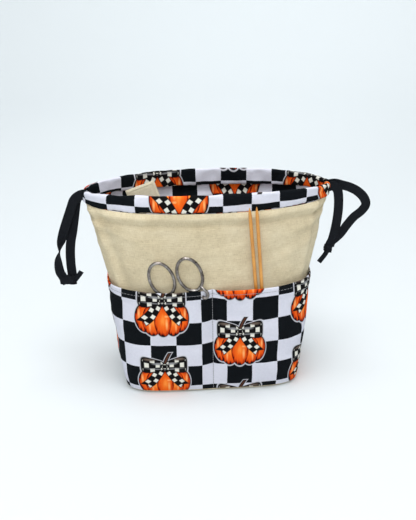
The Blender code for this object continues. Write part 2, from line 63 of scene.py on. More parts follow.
BAND_GAP, BAND_THICKNESS, BAND_FULLNESS = 0.0005, 0.0008, 0.0060
CASING_HALF_X, CASING_HALF_Y, CASING_Z = 0.1158, 0.0436, 0.1930
CASING_HALF_HEIGHT, CASING_HALF_THICKNESS = 0.00825, 0.0026
CASING_END_DROP, CASING_END_TAPER, CASING_END_STATION = 0.0009, 0.0026, 1.942
CLEARANCE = 0.0004
FRONT, BACK = -1, 1
FACES = ((FRONT, "front"), (BACK, "back"))

# A place on the mouth's fold for each face
FOLD_END = {FRONT: (0.0, -0.036, 0.2225), BACK: (0.0, 0.036, 0.2225)}

# Flat size of each sheet of cloth
CANVAS_FLAT, LINING_FLAT, POCKET_FLAT = (0.262, 0.186), (0.262, 0.183), (0.292, 0.112)

# Seeds of the soft and the fine waves in each cloth
WALL_SEEDS, BAND_SEEDS, CASING_SEED = (7, 21), (41, 57), 71


# ---- small helpers
def linked(name, data):
    """New object in the scene."""
    made = bpy.data.objects.new(name, data)
    bpy.context.scene.collection.objects.link(made)
    return made


def turned(degrees, axis):
    return Matrix.Rotation(radians(degrees), 4, axis)


def circle(count, shift=0.0):
    """Cosine and sine of evenly spaced turns."""
    return [(cos(tau * (k + shift) / count), sin(tau * (k + shift) / count)) for k in range(count)]


def smooth(value):
    value = np.clip(value, 0.0, 1.0)
    return value * value * (3.0 - 2.0 * value)


def bump_at(value, centre, half):
    """Rounded hump of height 1 that is zero beyond half on each side of centre."""
    return smooth(1.0 - np.abs(value - centre) / half)


def groove(along, middle, half):
    return np.exp(-((along - middle) / half) ** 2)


def waves(a, b, seed, count, low, high):
    """Sum of a few plane waves with seeded directions and wavelengths, about -1 to 1."""
    pick = np.random.default_rng(seed)
    total = np.zeros(np.broadcast(a, b).shape)
    for _ in range(count):
        turn, wave, start = pick.uniform(0, tau), pick.uniform(low, high), pick.uniform(0, 9)
        total = total + np.sin((a * cos(turn) + b * sin(turn)) * tau / wave + start)
    return total / sqrt(count)


def pair(values, constant):
    """Rows of a changing value and a constant one."""
    return np.stack([values, np.full_like(values, constant)], axis=1)


def direction_at(places, i, closed=False):
    """Direction of a line of places at one of them."""
    count = len(places)
    before = places[i - 1] if closed or i else places[0]
    beyond = places[(i + 1) % count] if closed or i < count - 1 else places[-1]
    return Vector(beyond - before).normalized()


def curve_rows(spots, parts, step=None, count=None):
    """Evenly spaced rows on a Catmull-Rom curve through spots, whose first three numbers are a place."""
    spots = [np.array(spot, float) for spot in spots]
    spots = [2 * spots[0] - spots[1]] + spots + [2 * spots[-1] - spots[-2]]
    fine = []
    for p0, p1, p2, p3 in zip(spots, spots[1:], spots[2:], spots[3:]):
        for t in np.linspace(0.0, 1.0, parts, endpoint=False):
            fine.append(0.5 * (2 * p1 + (p2 - p0) * t + (2 * p0 - 5 * p1 + 4 * p2 - p3) * t ** 2
                               + (3 * p1 - p0 - 3 * p2 + p3) * t ** 3))
    fine = np.array(fine + [spots[-2]])
    run = np.concatenate([[0.0], np.cumsum(np.linalg.norm(np.diff(fine[:, :3], axis=0), axis=1))])
    even = np.linspace(0.0, run[-1], count or max(4, round(run[-1] / step)) + 1)
    return np.stack([np.interp(even, run, column) for column in fine.T], axis=1)


def grid_faces(rows, columns, wrap_rows=False, wrap_columns=False, start=0):
    faces = []
    for i in range(rows if wrap_rows else rows - 1):
        for j in range(columns if wrap_columns else columns - 1):
            a, b = i * columns, ((i + 1) % rows) * columns
            k = (j + 1) % columns
            faces.append((start + a + j, start + a + k, start + b + k, start + b + j))
    return faces


def tube_faces(rings, around, start=0):
    """Faces of a tube with flat ends."""
    last = start + (rings - 1) * around
    return (grid_faces(rings, around, wrap_columns=True, start=start)
            + [tuple(range(start, start + around)), tuple(range(last, last + around))])


# ---- node helpers
def feed(tree, value, slot):
    """Connect a field or socket to a slot, or set the slot to a number or colour."""
    value = value.socket if isinstance(value, Field) else value
    if isinstance(value, bpy.types.NodeSocket):
        tree.links.new(value, slot)
    else:
        slot.default_value = (*value, 1.0) if isinstance(value, tuple) else value


def field_method(operation):
    """Method that adds one math node whose first input is the field itself."""
    return lambda self, *others: self.node(operation, self, *others)


class Field:
    """A number that varies over a surface: a socket, with arithmetic that adds nodes."""

    def __init__(self, tree, socket):
        self.tree, self.socket = tree, socket

    def node(self, operation, *inputs, clamp=False):
        step = self.tree.nodes.new('ShaderNodeMath')
        step.operation, step.use_clamp = operation, clamp
        for slot, value in zip(step.inputs, inputs):
            feed(self.tree, value, slot)
        return Field(self.tree, step.outputs[0])

    __add__ = __radd__ = field_method('ADD')
    __sub__, __truediv__ = field_method('SUBTRACT'), field_method('DIVIDE')
    __mul__ = __rmul__ = field_method('MULTIPLY')
    __abs__, sine, root = field_method('ABSOLUTE'), field_method('SINE'), field_method('SQRT')
    low, high, above = field_method('MINIMUM'), field_method('MAXIMUM'), field_method('GREATER_THAN')
    floor, fract = field_method('FLOOR'), field_method('FRACT')

    def __rsub__(self, other):
        return self.node('SUBTRACT', other, self)

    def odd(self):
        """1 where the whole number is odd, 0 where it is even."""
        return self.node('FLOORED_MODULO', self, 2.0)

    def length(self, other):
        return (self * self + other * other).root()

    def inside(self, soft=0.012):
        """1 where a distance is below zero and 0 above, with a soft edge."""
        return self.node('MULTIPLY_ADD', self, -0.5 / soft, 0.5, clamp=True)


class Paint:
    """Material under construction: shader, tree and the few nodes every cloth needs."""

    def __init__(self, name, roughness, metallic=0.0, specular=0.5):
        self.material = bpy.data.materials.new(name)
        self.material.use_nodes = True
        self.tree = self.material.node_tree
        self.shader = self.tree.nodes["Principled BSDF"]
        self.set("Roughness", roughness)
        self.set("Metallic", metallic)
        self.set("Specular IOR Level", specular)

    def set(self, name, value):
        """Give the shader a number, colour or field."""
        feed(self.tree, value, self.shader.inputs[name])

    def add(self, kind, **inputs):
        """New node; inputs are numbers, fields or sockets by name."""
        made = self.tree.nodes.new(f'ShaderNode{kind}')
        for name, value in inputs.items():
            feed(self.tree, value, made.inputs[name])
        return made

    def uv(self, layer):
        """Both coordinates of a UV layer."""
        read = self.add('UVMap')
        read.uv_map = layer
        split = self.add('SeparateXYZ', Vector=read.outputs[0])
        return Field(self.tree, split.outputs[0]), Field(self.tree, split.outputs[1])

    def number(self, value):
        """The same number everywhere, as a field."""
        made = self.tree.nodes.new('ShaderNodeMath')
        made.inputs[0].default_value, made.inputs[1].default_value = value, 0.0
        return Field(self.tree, made.outputs[0])

    def place(self):
        """Object coordinates, as a vector socket."""
        return self.add('TexCoord').outputs['Object']

    def vector(self, x, y):
        return self.add('CombineXYZ', X=x, Y=y).outputs[0]

    def noise(self, vector, scale, detail=2.0, roughness=0.5):
        made = self.add('TexNoise', Scale=scale, Detail=detail, Roughness=roughness, Vector=vector)
        return Field(self.tree, made.outputs['Fac'])

    def streaks(self, u, v, across, along, scale, detail=2.0, roughness=0.5):
        """Noise on a surface, drawn out where u or v is scaled by less than the other."""
        return self.noise(self.vector(u * across, v * along), scale, detail, roughness)

    def mix(self, share, low, high):
        """Colour between low and high; each is a colour or a socket."""
        made = self.tree.nodes.new('ShaderNodeMix')
        made.data_type = 'RGBA'
        for slot, value in (('Factor', share), (6, low), (7, high)):
            feed(self.tree, value, made.inputs[slot])
        return made.outputs[2]

    def ramp(self, value, *stops):
        made = self.add('ValToRGB', Fac=value)
        band = made.color_ramp
        while len(band.elements) < len(stops):
            band.elements.new(0.5)
        for element, (place, color) in zip(band.elements, stops):
            element.position = place
            element.color = (*color, 1.0)
        return made.outputs[0]

    def bump(self, height, distance, strength=1.0):
        made = self.add('Bump', Distance=distance, Strength=strength, Height=height)
        self.set("Normal", made.outputs[0])

    def fuzz(self, weight, roughness, tint):
        self.set("Sheen Weight", weight)
        self.set("Sheen Roughness", roughness)
        self.set("Sheen Tint", tint)


def ellipse(x, y, centre, half):
    """Rough distance to an ellipse, negative inside."""
    across, up = (x - centre[0]) / half[0], (y - centre[1]) / half[1]
    return (across.length(up) - 1.0) * min(half)


def pillow(x, y, half_x, half_y):
    """Rough distance to a rounded oblong about the origin, negative inside."""
    across, up = x / half_x, y / half_y
    across, up = across * across, up * up
    return (across.length(up).root() - 1.0) * 0.3


def plain_weave(u, v, pitch):
    """Height of an over-and-under weave; pitch is the distance between threads."""
    warp = (u * (pi / pitch)).sine()
    weft = (v * (pi / pitch)).sine()
    over = ((u / pitch).floor() + (v / pitch).floor()).odd()
    up = abs(warp) * over + abs(weft) * (1.0 - over)
    return up * up


# ---- camera, lights and floor
CAMERA_LENS, CAMERA_PLACE = 53.03, (-0.000354, -0.700565, 0.417241)
CAMERA_TURN, CAMERA_TILT, CAMERA_ROLL = -3.488, 66.989, -0.995
# Each light's name, place, target, size, power and colour
LIGHTS = (
    ("top_light", (0.0, -0.25, 1.8), (0.0, 0.0, 0.0), 1.2, 27.0, (0.99, 0.99, 1.0)),
    ("front_light", (-0.25, -1.7, 1.1), (0.0, 0.0, 0.1), 0.8, 13.2, (1.0, 0.985, 0.96)),
    ("back_light", (0.3, 1.5, 1.3), (0.0, 2.3, 0.2), 1.4, 9.0, (0.97, 0.99, 1.0)),
)


def make_camera():
    data = bpy.data.cameras.new("camera")
    data.lens, data.sensor_width, data.sensor_fit = CAMERA_LENS, 36.0, 'AUTO'
    data.clip_start, data.clip_end = 0.05, 20.0
    camera = linked("camera", data)
    camera.matrix_world = (turned(CAMERA_TURN, 'Z') @ Matrix.Translation(CAMERA_PLACE)
                           @ turned(CAMERA_TILT, 'X') @ turned(CAMERA_ROLL, 'Z'))
    bpy.context.scene.camera = camera


def make_studio():
    """Soft overhead light, a broad one from the front and one on the sweep behind."""
    for name, place, target, size, power, color in LIGHTS:
        data = bpy.data.lights.new(name, 'AREA')
        data.shape, data.size, data.energy, data.color = 'SQUARE', size, power, color
        light = linked(name, data)
        light.location = place
        aim = Vector(target) - Vector(place)
        light.rotation_euler = aim.to_track_quat('-Z', 'Y').to_euler()
    world = bpy.data.worlds.new("studio")
    bpy.context.scene.world = world
    world.use_nodes = True
    background = world.node_tree.nodes["Background"]
    background.inputs["Color"].default_value = (0.93, 0.97, 1.0, 1.0)
    background.inputs["Strength"].default_value = 0.60
    bpy.context.scene.view_settings.view_transform = 'Standard'


def make_floor():
    """Pale round sweep: a flat floor that curves up into a wall on every side."""
    flat, bend, top, around, sunk = 1.4, 1.1, 2.4, 96, 0.0002
    profile = [(r, 0.0) for r in (0.0, 0.35, 0.7, 1.05, flat)]
    profile += [(flat + bend * sin(a), bend - bend * cos(a)) for a in np.linspace(0.12, pi / 2, 14)]
    profile.append((flat + bend, top))
    points = [(r * x, r * y, z - sunk) for r, z in profile for x, y in circle(around)]
    mesh = bpy.data.meshes.new("sweep")
    mesh.from_pydata(points, [], grid_faces(len(profile), around, wrap_columns=True))
    mesh.shade_smooth()
    paint = Paint("sweep_paper", 0.8, specular=0.2)
    paint.set("Base Color", (0.675, 0.707, 0.720))
    mesh.materials.append(paint.material)
    linked("sweep", mesh)


# ---- cloth materials
CHECK = 0.0244
OUTLINE, EDGE_WHITE = (0.006, 0.0055, 0.006), (0.62, 0.62, 0.67)
RIBBON_WHITE = (0.76, 0.74, 0.66)
RIBBON_SQUARE, KNOT_SQUARE = 0.205, 0.14


def folded_motif_place(u, v):
    """Coordinates about the nearest motif centre of the print's repeat, in checks."""
    column = ((u - 1.5) / 3.0 + 0.5).floor()
    x = u - 1.5 - column * 3.0
    shifted = v + 2.0 - column * 1.5
    return x, shifted - (shifted / 3.0 + 0.5).floor() * 3.0


def checked_ribbon(paint, along, across, size):
    """Black ribbon with cream squares, each a little smaller than its cell."""
    a, b = along / size, across / size
    box = abs(a.fract() - 0.5).high(abs(b.fract() - 0.5))
    return paint.mix((a.floor() + b.floor()).odd() * (box - 0.39).inside(0.04), OUTLINE, RIBBON_WHITE)


def tail_place(x, y):
    """Distance along and across a ribbon tail that hangs outward from the knot."""
    lean = radians(35.0)
    dx, dy = x - 0.20, 0.33 - y
    along = dx * sin(lean) + dy * cos(lean)
    bend = (along * 3.4).sine() * 0.05
    return along, dx * cos(lean) - dy * sin(lean) + bend


def pumpkin_body(paint, x, side, y):
    """Five ribs, dark at their edges, with a few highlights; its outline and its colour."""
    ribs = [ellipse(side, y, (0.0, -0.36), (0.34, 0.70)),
            ellipse(side, y, (0.40, -0.34), (0.36, 0.68)),
            ellipse(side, y, (0.65, -0.25), (0.36, 0.62))]
    shade = paint.number(0.0)
    for rib in reversed(ribs):
        mask = rib.inside()
        shade = shade * (1.0 - mask) + mask * rib * -3.0
    streak = paint.streaks(x, y, 6.0, 1.2, 2.2)
    skin = paint.ramp(
        shade + (streak - 0.5) * 0.55,
        (0.00, OUTLINE), (0.06, (0.050, 0.004, 0.002)), (0.12, (0.420, 0.030, 0.005)),
        (0.27, (0.790, 0.090, 0.008)), (0.62, (0.900, 0.150, 0.014)), (1.0, (0.98, 0.30, 0.05)))
    glints = (ellipse(x, y, (0.15, -0.50), (0.035, 0.17))
              .low(ellipse(x, y, (0.15, -0.17), (0.055, 0.035)))
              .low(ellipse(side, y, (0.86, -0.06), (0.030, 0.15)))
              .low(ellipse(side, y, (0.50, -0.60), (0.022, 0.13))))
    outline = ribs[0].low(ribs[1]).low(ribs[2])
    return outline, paint.mix(glints.inside(0.03) * 0.8, skin, (1.0, 0.56, 0.20))


def pumpkin_motif(paint, x, y):
    """Generic pumpkin with a checked bow; returns its colour and where it covers the cloth."""
    side = abs(x)
    body, color = pumpkin_body(paint, x, side, y)
    along, across = tail_place(side, y)
    notch = along - 1.02 + (0.20 - abs(across)) * 0.6
    tail = (abs(across) - 0.205).high(notch).high(-1.0 * along - 0.12)
    rise = y - 0.55 - side * 0.05
    loop = pillow(side - 0.45, rise, 0.43, side * 0.26 + 0.22)
    knot = ellipse(side, y, (0.0, 0.53), (0.13, 0.15))
    stem_lean = (y - 0.6) * (y - 0.2) * 0.42
    stem = (abs(x - stem_lean) - 0.068).high(abs(y - 0.87) - 0.29)
    cover = body.low(loop).low(tail).low(knot).low(stem)

    hollow = ellipse(side, rise, (0.58, 0.29), (0.20, 0.060))
    crease = ellipse(side, rise, (0.28, 0.10), (0.17, 0.045)).low(
        ellipse(side, rise, (0.36, -0.16), (0.20, 0.018)))
    bow = checked_ribbon(paint, side + 0.03, rise / (side + 0.45) * 0.85 + 0.1, RIBBON_SQUARE)
    bow = paint.mix(crease.inside(0.03), bow, (0.30, 0.30, 0.31))
    bow = paint.mix(hollow.inside(0.03), bow, (0.13, 0.095, 0.075))
    layers = ((stem, (0.090, 0.034, 0.020)), (tail, checked_ribbon(paint, along, across, RIBBON_SQUARE)),
              (loop, bow), (knot, checked_ribbon(paint, side + 0.07, y - 0.46, KNOT_SQUARE)))
    for shape, shown in layers:
        color = paint.mix(shape.inside(), color, OUTLINE)
        color = paint.mix((shape + 0.030).inside(), color, shown)
    color = paint.mix((cover - 0.014).inside(), EDGE_WHITE, color)
    return color, (cover - 0.040).inside()


def printed_cotton():
    """Quilting cotton printed with black and white checks and a repeat of pumpkins."""
    paint = Paint("printed_cotton", 0.88, specular=0.05)
    u, v = paint.uv("print")
    cloth = paint.vector(u, v)
    wobble = (paint.noise(cloth, 1.3) - 0.5) * 0.05
    ragged = (paint.noise(cloth, 26.0, 1.0) - 0.5) * 0.020
    cu, cv = u + wobble + ragged, v - wobble + ragged
    black = (cu.floor() + cv.floor()).odd()
    mottle = paint.noise(cloth, 9.0, 4.0, 0.7)
    fibre = paint.streaks(u, v, 1.0, 5.0, 30.0, 2.0, 0.6)
    white = paint.mix(mottle * 0.5 + fibre * 0.5, (0.52, 0.52, 0.60), (0.80, 0.80, 0.88))
    dark = paint.mix(fibre, (0.0020, 0.0030, 0.0042), (0.0080, 0.0100, 0.0125))
    color, cover = pumpkin_motif(paint, *folded_motif_place(u, v))
    paint.set("Base Color", paint.mix(cover, paint.mix(black, white, dark), color))
    paint.bump(plain_weave(u, v, 0.0135) * 0.5 + mottle * 0.5, 0.00022, 0.7)
    return paint.material


def natural_canvas(name, *shades):
    """Unbleached cotton canvas: uneven threads, slubs and dark flecks."""
    paint = Paint(name, 0.92, specular=0.08)
    u, v = paint.uv("cloth")
    weft = paint.streaks(u, v, 1.0, 9.0, 210.0, 3.0, 0.65)
    warp = paint.streaks(u, v, 9.0, 1.0, 210.0, 3.0, 0.65)
    slub = paint.streaks(u, v, 0.5, 14.0, 60.0, 2.0, 0.6)
    tone = paint.noise(paint.vector(u, v), 34.0, 4.0, 0.65)
    threads = weft * 0.45 + warp * 0.35 + slub * 0.20
    base = paint.ramp(threads * 0.7 + tone * 0.3, *zip((0.32, 0.48, 0.64), shades))
    fleck = paint.streaks(u, v, 1.6, 1.6, 700.0, 1.0).above(0.735)
    paint.set("Base Color", paint.mix(fleck * 0.6, base, (0.20, 0.135, 0.075)))
    paint.bump(plain_weave(u, v, 0.00055) * 0.5 + threads * 1.1, 0.00042, 0.9)
    paint.fuzz(0.05, 0.5, (1.0, 0.96, 0.88))
    return paint.material


def tape_weave():
    """Black cotton tape with a fine herringbone rib."""
    paint = Paint("black_tape", 0.70, specular=0.10)
    u, v = paint.uv("cloth")
    zigzag = abs((v * 285.0).fract() - 0.5)
    rib = ((u * 1150.0 + zigzag * 5.0) * tau).sine()
    dust = paint.streaks(u, v, 1.0, 4.0, 420.0, 3.0, 0.6)
    paint.set("Base Color", paint.mix(dust * 0.8 + rib * 0.12,
                                      (0.0020, 0.0026, 0.0040), (0.0120, 0.0140, 0.0190)))
    paint.bump(rib * 0.5 + dust * 0.5, 0.00012, 0.6)
    paint.fuzz(0.02, 0.4, (0.75, 0.80, 0.90))
    return paint.material


def sewing_thread():
    paint = Paint("sewing_thread", 0.6)
    u, v = paint.uv("cloth")
    twist = ((u * 2600.0 + v * 900.0) * tau).sine()
    paint.set("Base Color", paint.mix(twist * 0.5 + 0.5, (0.14, 0.14, 0.15), (0.36, 0.36, 0.38)))
    paint.bump(twist, 0.00006, 0.6)
    return paint.material


def polished_steel():
    """Old polished steel; its darker brown streaks are painted reflection of the dark cloth around it,
    and the same noise varies its roughness.
    """
    paint = Paint("polished_steel", 0.30, metallic=1.0)
    painted_reflection_and_roughness = paint.noise(paint.place(), 190.0, 4.0, 0.65)
    # Painted reflection: dark brown streaks in the colour stand in for the dark cloth that the steel
    # mirrors
    paint.set("Base Color", paint.ramp(painted_reflection_and_roughness, (0.30, (0.085, 0.070, 0.060)), (0.50, (0.220, 0.195, 0.180)),
                                       (0.72, (0.440, 0.415, 0.395))))
    paint.set("Roughness", painted_reflection_and_roughness * 0.25 + 0.18)
    paint.bump(paint.noise(paint.place(), 900.0), 0.00004, 0.35)
    return paint.material


def varnished_bamboo():
    paint = Paint("varnished_bamboo", 0.34)
    u, v = paint.uv("cloth")
    grain = paint.streaks(u, v, 1.0, 26.0, 420.0, 4.0, 0.6)
    band = paint.streaks(u, v, 1.0, 0.1, 45.0)
    paint.set("Base Color", paint.ramp(grain * 0.65 + band * 0.35, (0.32, (0.33, 0.125, 0.018)),
                                       (0.50, (0.60, 0.250, 0.036)), (0.68, (0.78, 0.40, 0.085))))
    paint.bump(grain, 0.00005, 0.5)
    paint.set("Coat Weight", 0.35)
    paint.set("Coat Roughness", 0.25)
    return paint.material


def base_stiffener():
    """Dull board of pressed fibre, which stays inside between the cloths of the base."""
    paint = Paint("base_stiffener", 0.9, specular=0.2)
    speck = paint.noise(paint.place(), 900.0, 3.0, 0.7)
    paint.set("Base Color", paint.ramp(speck, (0.35, (0.30, 0.27, 0.22)), (0.65, (0.46, 0.42, 0.36))))
    paint.bump(speck, 0.0001, 0.4)
    return paint.material


MATERIALS = {
    "printed_cotton": printed_cotton(), "tape": tape_weave(), "thread": sewing_thread(),
    "canvas": natural_canvas("natural_canvas", (0.480, 0.378, 0.228), (0.715, 0.604, 0.402),
                             (0.875, 0.775, 0.568)),
    "sleeve_canvas": natural_canvas("sleeve_canvas", (0.640, 0.545, 0.375), (0.860, 0.775, 0.570),
                                    (0.960, 0.900, 0.720)),
    "steel": polished_steel(), "bamboo": varnished_bamboo(), "stiffener": base_stiffener(),
}


# ---- pieces
def add_piece(name, slot, points, faces, uv=None, sharp=55.0):
    """Piece with the slot's material; uv gives {layer: one (u, v) per point}."""
    mesh = bpy.data.meshes.new(name)
    mesh.from_pydata([tuple(p) for p in points], [], [tuple(f) for f in faces])
    corners = np.zeros(len(mesh.loops), dtype=np.int32)
    mesh.loops.foreach_get("vertex_index", corners)
    for layer, values in (uv or {}).items():
        made = mesh.uv_layers.new(name=layer)
        made.data.foreach_set("uv", np.asarray(values, dtype=np.float32)[corners].ravel())
    work = bmesh.new()
    work.from_mesh(mesh)
    bmesh.ops.recalc_face_normals(work, faces=work.faces)
    work.to_mesh(mesh)
    work.free()
    mesh.shade_smooth()
    mesh.set_sharp_from_angle(angle=radians(sharp))
    mesh.materials.append(MATERIALS[slot])
    piece = linked(name, mesh)
    return piece


def closed_cloth(name, slot, rows, prints, cloths):
    """Cloth from rows of points that go up its outer face and down its inner one."""
    count, columns = len(rows), len(rows[0])
    faces = grid_faces(count, columns, wrap_rows=True)
    for j in (0, columns - 1):
        for i in range((count - 1) // 2):
            ends = (i, i + 1, count - 2 - i, count - 1 - i)
            faces.append(tuple(dict.fromkeys(row * columns + j for row in ends)))
    return add_piece(name, slot, np.concatenate(rows), faces,
                     {"print": np.concatenate(prints), "cloth": np.concatenate(cloths)})


def on_body(piece, body, *nodes):
    """Ride a piece on a body, in place of the solids it stands for."""
    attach(piece, body)
    if nodes:
        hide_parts(*nodes)


def over_fold(piece, side, face, *nodes):
    """Bake a piece's placement into its mesh, in place of the solids it stands for, which are hidden."""
    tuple(FOLD_END[side])
    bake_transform(piece)
    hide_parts(*nodes)


# ---- the wall's surface
def section_row(stations, grow, half_x, half_y, square):
    """Plan x, depth and arc length of stations on one section; grow is the offset outward."""
    turn, trial = np.linspace(0.0, pi / 2, 500), 0.001
    rows = []
    for offset in (0.0, trial):
        x = (half_x + offset) * np.sin(turn) ** (2.0 / square)
        depth = (half_y + offset) * np.cos(turn) ** (2.0 / square)
        run = np.concatenate([[0.0], np.cumsum(np.hypot(np.diff(x), np.diff(depth)))])
        fold = np.interp(FOLD_X, x, run)
        reach = np.abs(stations)
        along = np.where(reach <= 1.0, np.interp(np.minimum(reach, 1.0) * FOLD_X, x, run),
                         fold + (reach - 1.0) * (run[-1] - fold))
        rows.append((np.sign(stations) * np.interp(along, run, x), np.interp(along, run, depth),
                     np.sign(stations) * along))
    share = np.asarray(grow) / trial
    return (rows[0][0] + (rows[1][0] - rows[0][0]) * share,
            rows[0][1] + (rows[1][1] - rows[0][1]) * share, rows[0][2])


def end_share(x):
    return (np.abs(x) / CASING_HALF_X) ** 3


def wall_row(stations, z, offset, side):
    """Points and arc lengths of one row of the wall."""
    half_x, half_y, square = (float(np.interp(z, SECTION_HEIGHTS, values)) for values in
                              (SECTION_HALF_X, SECTION_HALF_Y, SECTION_SQUARENESS))
    x, depth, along = section_row(stations, offset, half_x, half_y, square)
    height = np.full_like(x, z)
    if z > POCKET_TOP:
        top = (CASING_Z - CASING_HALF_HEIGHT - CLEARANCE
               + (CASING_END_TAPER - CASING_END_DROP) * end_share(x))
        height = POCKET_TOP + (z - POCKET_TOP) / (WALL_TOP - POCKET_TOP) * (top - POCKET_TOP)
    return np.stack([x, side * depth, height], axis=1), along


# Upright folds in each wall's cloth: place along, lean with depth under the rim, half width, height
WALL_FOLDS = {
    FRONT: ((-0.118, 0.36, 0.0045, 0.0024), (-0.109, 0.36, 0.006, -0.0018),
            (-0.060, 0.10, 0.010, 0.0012), (0.072, -0.15, 0.011, -0.0015),
            (0.104, -0.15, 0.005, 0.0016), (0.112, -0.20, 0.006, -0.0018)),
    BACK: ((0.052, -0.25, 0.009, 0.0011), (-0.070, 0.0, 0.012, -0.0011)),
}
# Slanting creases under the casing: where they start along, their slope, spread and height
CREASE_ALONG, CREASE_SLOPE, CREASE_SPREAD, CREASE_HEIGHT = 0.124, 4.2, 0.026, 0.0013


def wall_relief(along, z, side):
    """How far canvas and lining stand off the smooth wall: soft folds and a sewn ridge."""
    free = smooth((z - 0.100) / 0.02) * smooth((WALL_TOP + 0.001 - z) / 0.006)
    below = WALL_TOP - z
    soft, fine = WALL_SEEDS
    relief = (waves(along, z * 0.5, soft + side, 5, 0.040, 0.100) * 0.0011
              + waves(along, z, fine + side, 6, 0.012, 0.030) * 0.00034)
    for place, lean, half, height in WALL_FOLDS[side]:
        relief = relief + groove(along, place + below * lean, half) * height
    if side == FRONT:
        near_top = smooth((0.034 - below) / 0.02) * smooth((below - 0.008) / 0.006)
        for sweep in (-1, 1):
            diagonal = sweep * along - CREASE_ALONG + (below - 0.014) * CREASE_SLOPE
            crease = groove(diagonal, 0.0, 0.014) - groove(diagonal, CREASE_SPREAD, 0.012)
            relief = relief + near_top * crease * CREASE_HEIGHT
    ridge = (bump_at(z, WALL_TOP - 0.0045, 0.0065) * 0.0022
             - bump_at(z, WALL_TOP - 0.0115, 0.0045) * 0.0018)
    seam = 1.0 - smooth((np.abs(along) - 0.118) / 0.014)
    room = 0.0006 + 0.0024 * smooth((z - 0.140) / 0.02)
    return np.minimum((free * relief + ridge * free ** 0.2) * seam, room)


# ---- walls and lining
LINING_PRINT_U, LINING_PRINT_Z, LINING_PITCH, LINING_SHIFT = -0.0075, 0.183, 0.0255, -0.6


def wall_stations(count=121):
    return np.linspace(-1.998, 1.998, count)


def lining_print(along, z):
    return pair((LINING_PRINT_U - along) / LINING_PITCH,
                LINING_SHIFT - (z - LINING_PRINT_Z) / LINING_PITCH)


def no_print(along, z):
    return pair(along * 0.0, 0.0)


def wall_piece(name, slot, side, stations, steps, offset, print_from):
    """Closed cloth on the wall; a step is a height and a layer, up the outer face, down the inner."""
    rows, prints, cloths = [], [], []
    for z, layer in steps:
        along = wall_row(stations, z, 0.0, side)[1]
        rows.append(wall_row(stations, z, offset(along, z, layer), side)[0])
        prints.append(print_from(along, z))
        cloths.append(pair(along, z))
    return closed_cloth(name, slot, rows, prints, cloths)


def make_wall_cloth(side, face, cloth, slot, foot, outer, inner, print_from, flat):
    """One panel of canvas or lining, from its foot at the base up to under the casing."""
    heights = np.concatenate([np.linspace(foot, 0.100, 16), np.linspace(0.104, WALL_TOP, 44)])
    steps = [(z, outer) for z in heights] + [(z, inner) for z in heights[::-1]]
    piece = wall_piece(f"{cloth}_cloth_{face}", slot, side, wall_stations(), steps,
                       lambda along, z, layer: layer + wall_relief(along, z, side), print_from)
    over_fold(piece, side, face, f"{cloth}_{face}", f"mouth_{cloth}_{face}")


# Each cloth of the wall: its name, slot, foot, outer and inner face, print and flat size
WALL_CLOTHS = (
    ("canvas", "canvas", 0.0012, 0.0, -CANVAS_THICKNESS, no_print, CANVAS_FLAT),
    ("lining", "printed_cotton", 0.0046, LINING_OUTER, LINING_INNER, lining_print, LINING_FLAT),
)


# ---- pockets
POCKET_PRINT_U, POCKET_PRINT_Z = -0.0109, 0.1036
POCKET_PITCH_U, POCKET_PITCH_Z = 0.0244, 0.0240
BACK_PRINT_SHIFT = 3.7


def band_fullness(stations, z):
    reach = np.abs(stations)
    across = np.where(reach < 1.0, 1.0 - (1.0 - np.minimum(reach, 1.0)) ** 6,
                      np.cos((np.maximum(reach, 1.0) - 1.0) * pi / 2) ** 2)
    up = 1.0 - (1.0 - min(z / POCKET_TOP, 1.0)) ** 5
    return BAND_GAP + BAND_FULLNESS * across * up


def pocket_offset(stations, along, z, side):
    """Offset of the band's inner face from the wall, with its creases."""
    full = band_fullness(stations, z)
    soft, fine = BAND_SEEDS
    creases = (waves(along, z, soft + side, 5, 0.030, 0.085) * 0.0007
               + waves(along, z, fine + side, 6, 0.010, 0.026) * 0.00016)
    tuck = -0.0002 * np.exp(-(stations / 0.012) ** 2) * np.sin(z * tau / 0.011)
    seam = smooth((2.0 - np.abs(stations)) / 0.25) * smooth(np.abs(stations) / 0.10)
    return full + np.maximum(smooth(z / 0.03) * creases * seam, -0.35 * (full - BAND_GAP)) + tuck


def hem_share(z):
    """Thickness of the band in cloth layers: folded double along its top edge."""
    return 1.0 + 0.9 * smooth((z - (POCKET_TOP - 0.0125)) / 0.0012)


def make_pocket_band(side, face):
    """Printed band of pockets: up its outer face, over the hem and down its inner face."""
    stations = np.unique(np.concatenate([wall_stations(141), np.linspace(-0.06, 0.06, 13)]))
    heights = np.concatenate([np.linspace(0.0022, 0.012, 6),
                              np.linspace(0.016, POCKET_TOP - 0.0012, 42)])
    steps = [(z, 1.0) for z in heights]
    steps += [(POCKET_TOP - 0.0004, 0.82), (POCKET_TOP - 0.0001, 0.5), (POCKET_TOP - 0.0004, 0.18)]
    steps += [(z, 0.0) for z in heights[::-1]]

    def offset(along, z, layer):
        return pocket_offset(stations, along, z, side) + layer * BAND_THICKNESS * hem_share(z)

    def print_from(along, z):
        u = (along - POCKET_PRINT_U) / POCKET_PITCH_U
        return pair(BACK_PRINT_SHIFT - u if side == BACK else u, (z - POCKET_PRINT_Z) / POCKET_PITCH_Z)

    band = wall_piece(f"pocket_cloth_{face}", "printed_cotton", side, stations, steps, offset, print_from)
    on_body(band, "bag", f"pocket_band_{face}")


# Length and width of each kind of stitch
HEM_STITCH, DIVIDER_STITCH, SLEEVE_STITCH = (0.0022, 0.00042), (0.0021, 0.00055), (0.0020, 0.00042)
HEM_STITCH_DROP = 0.0042


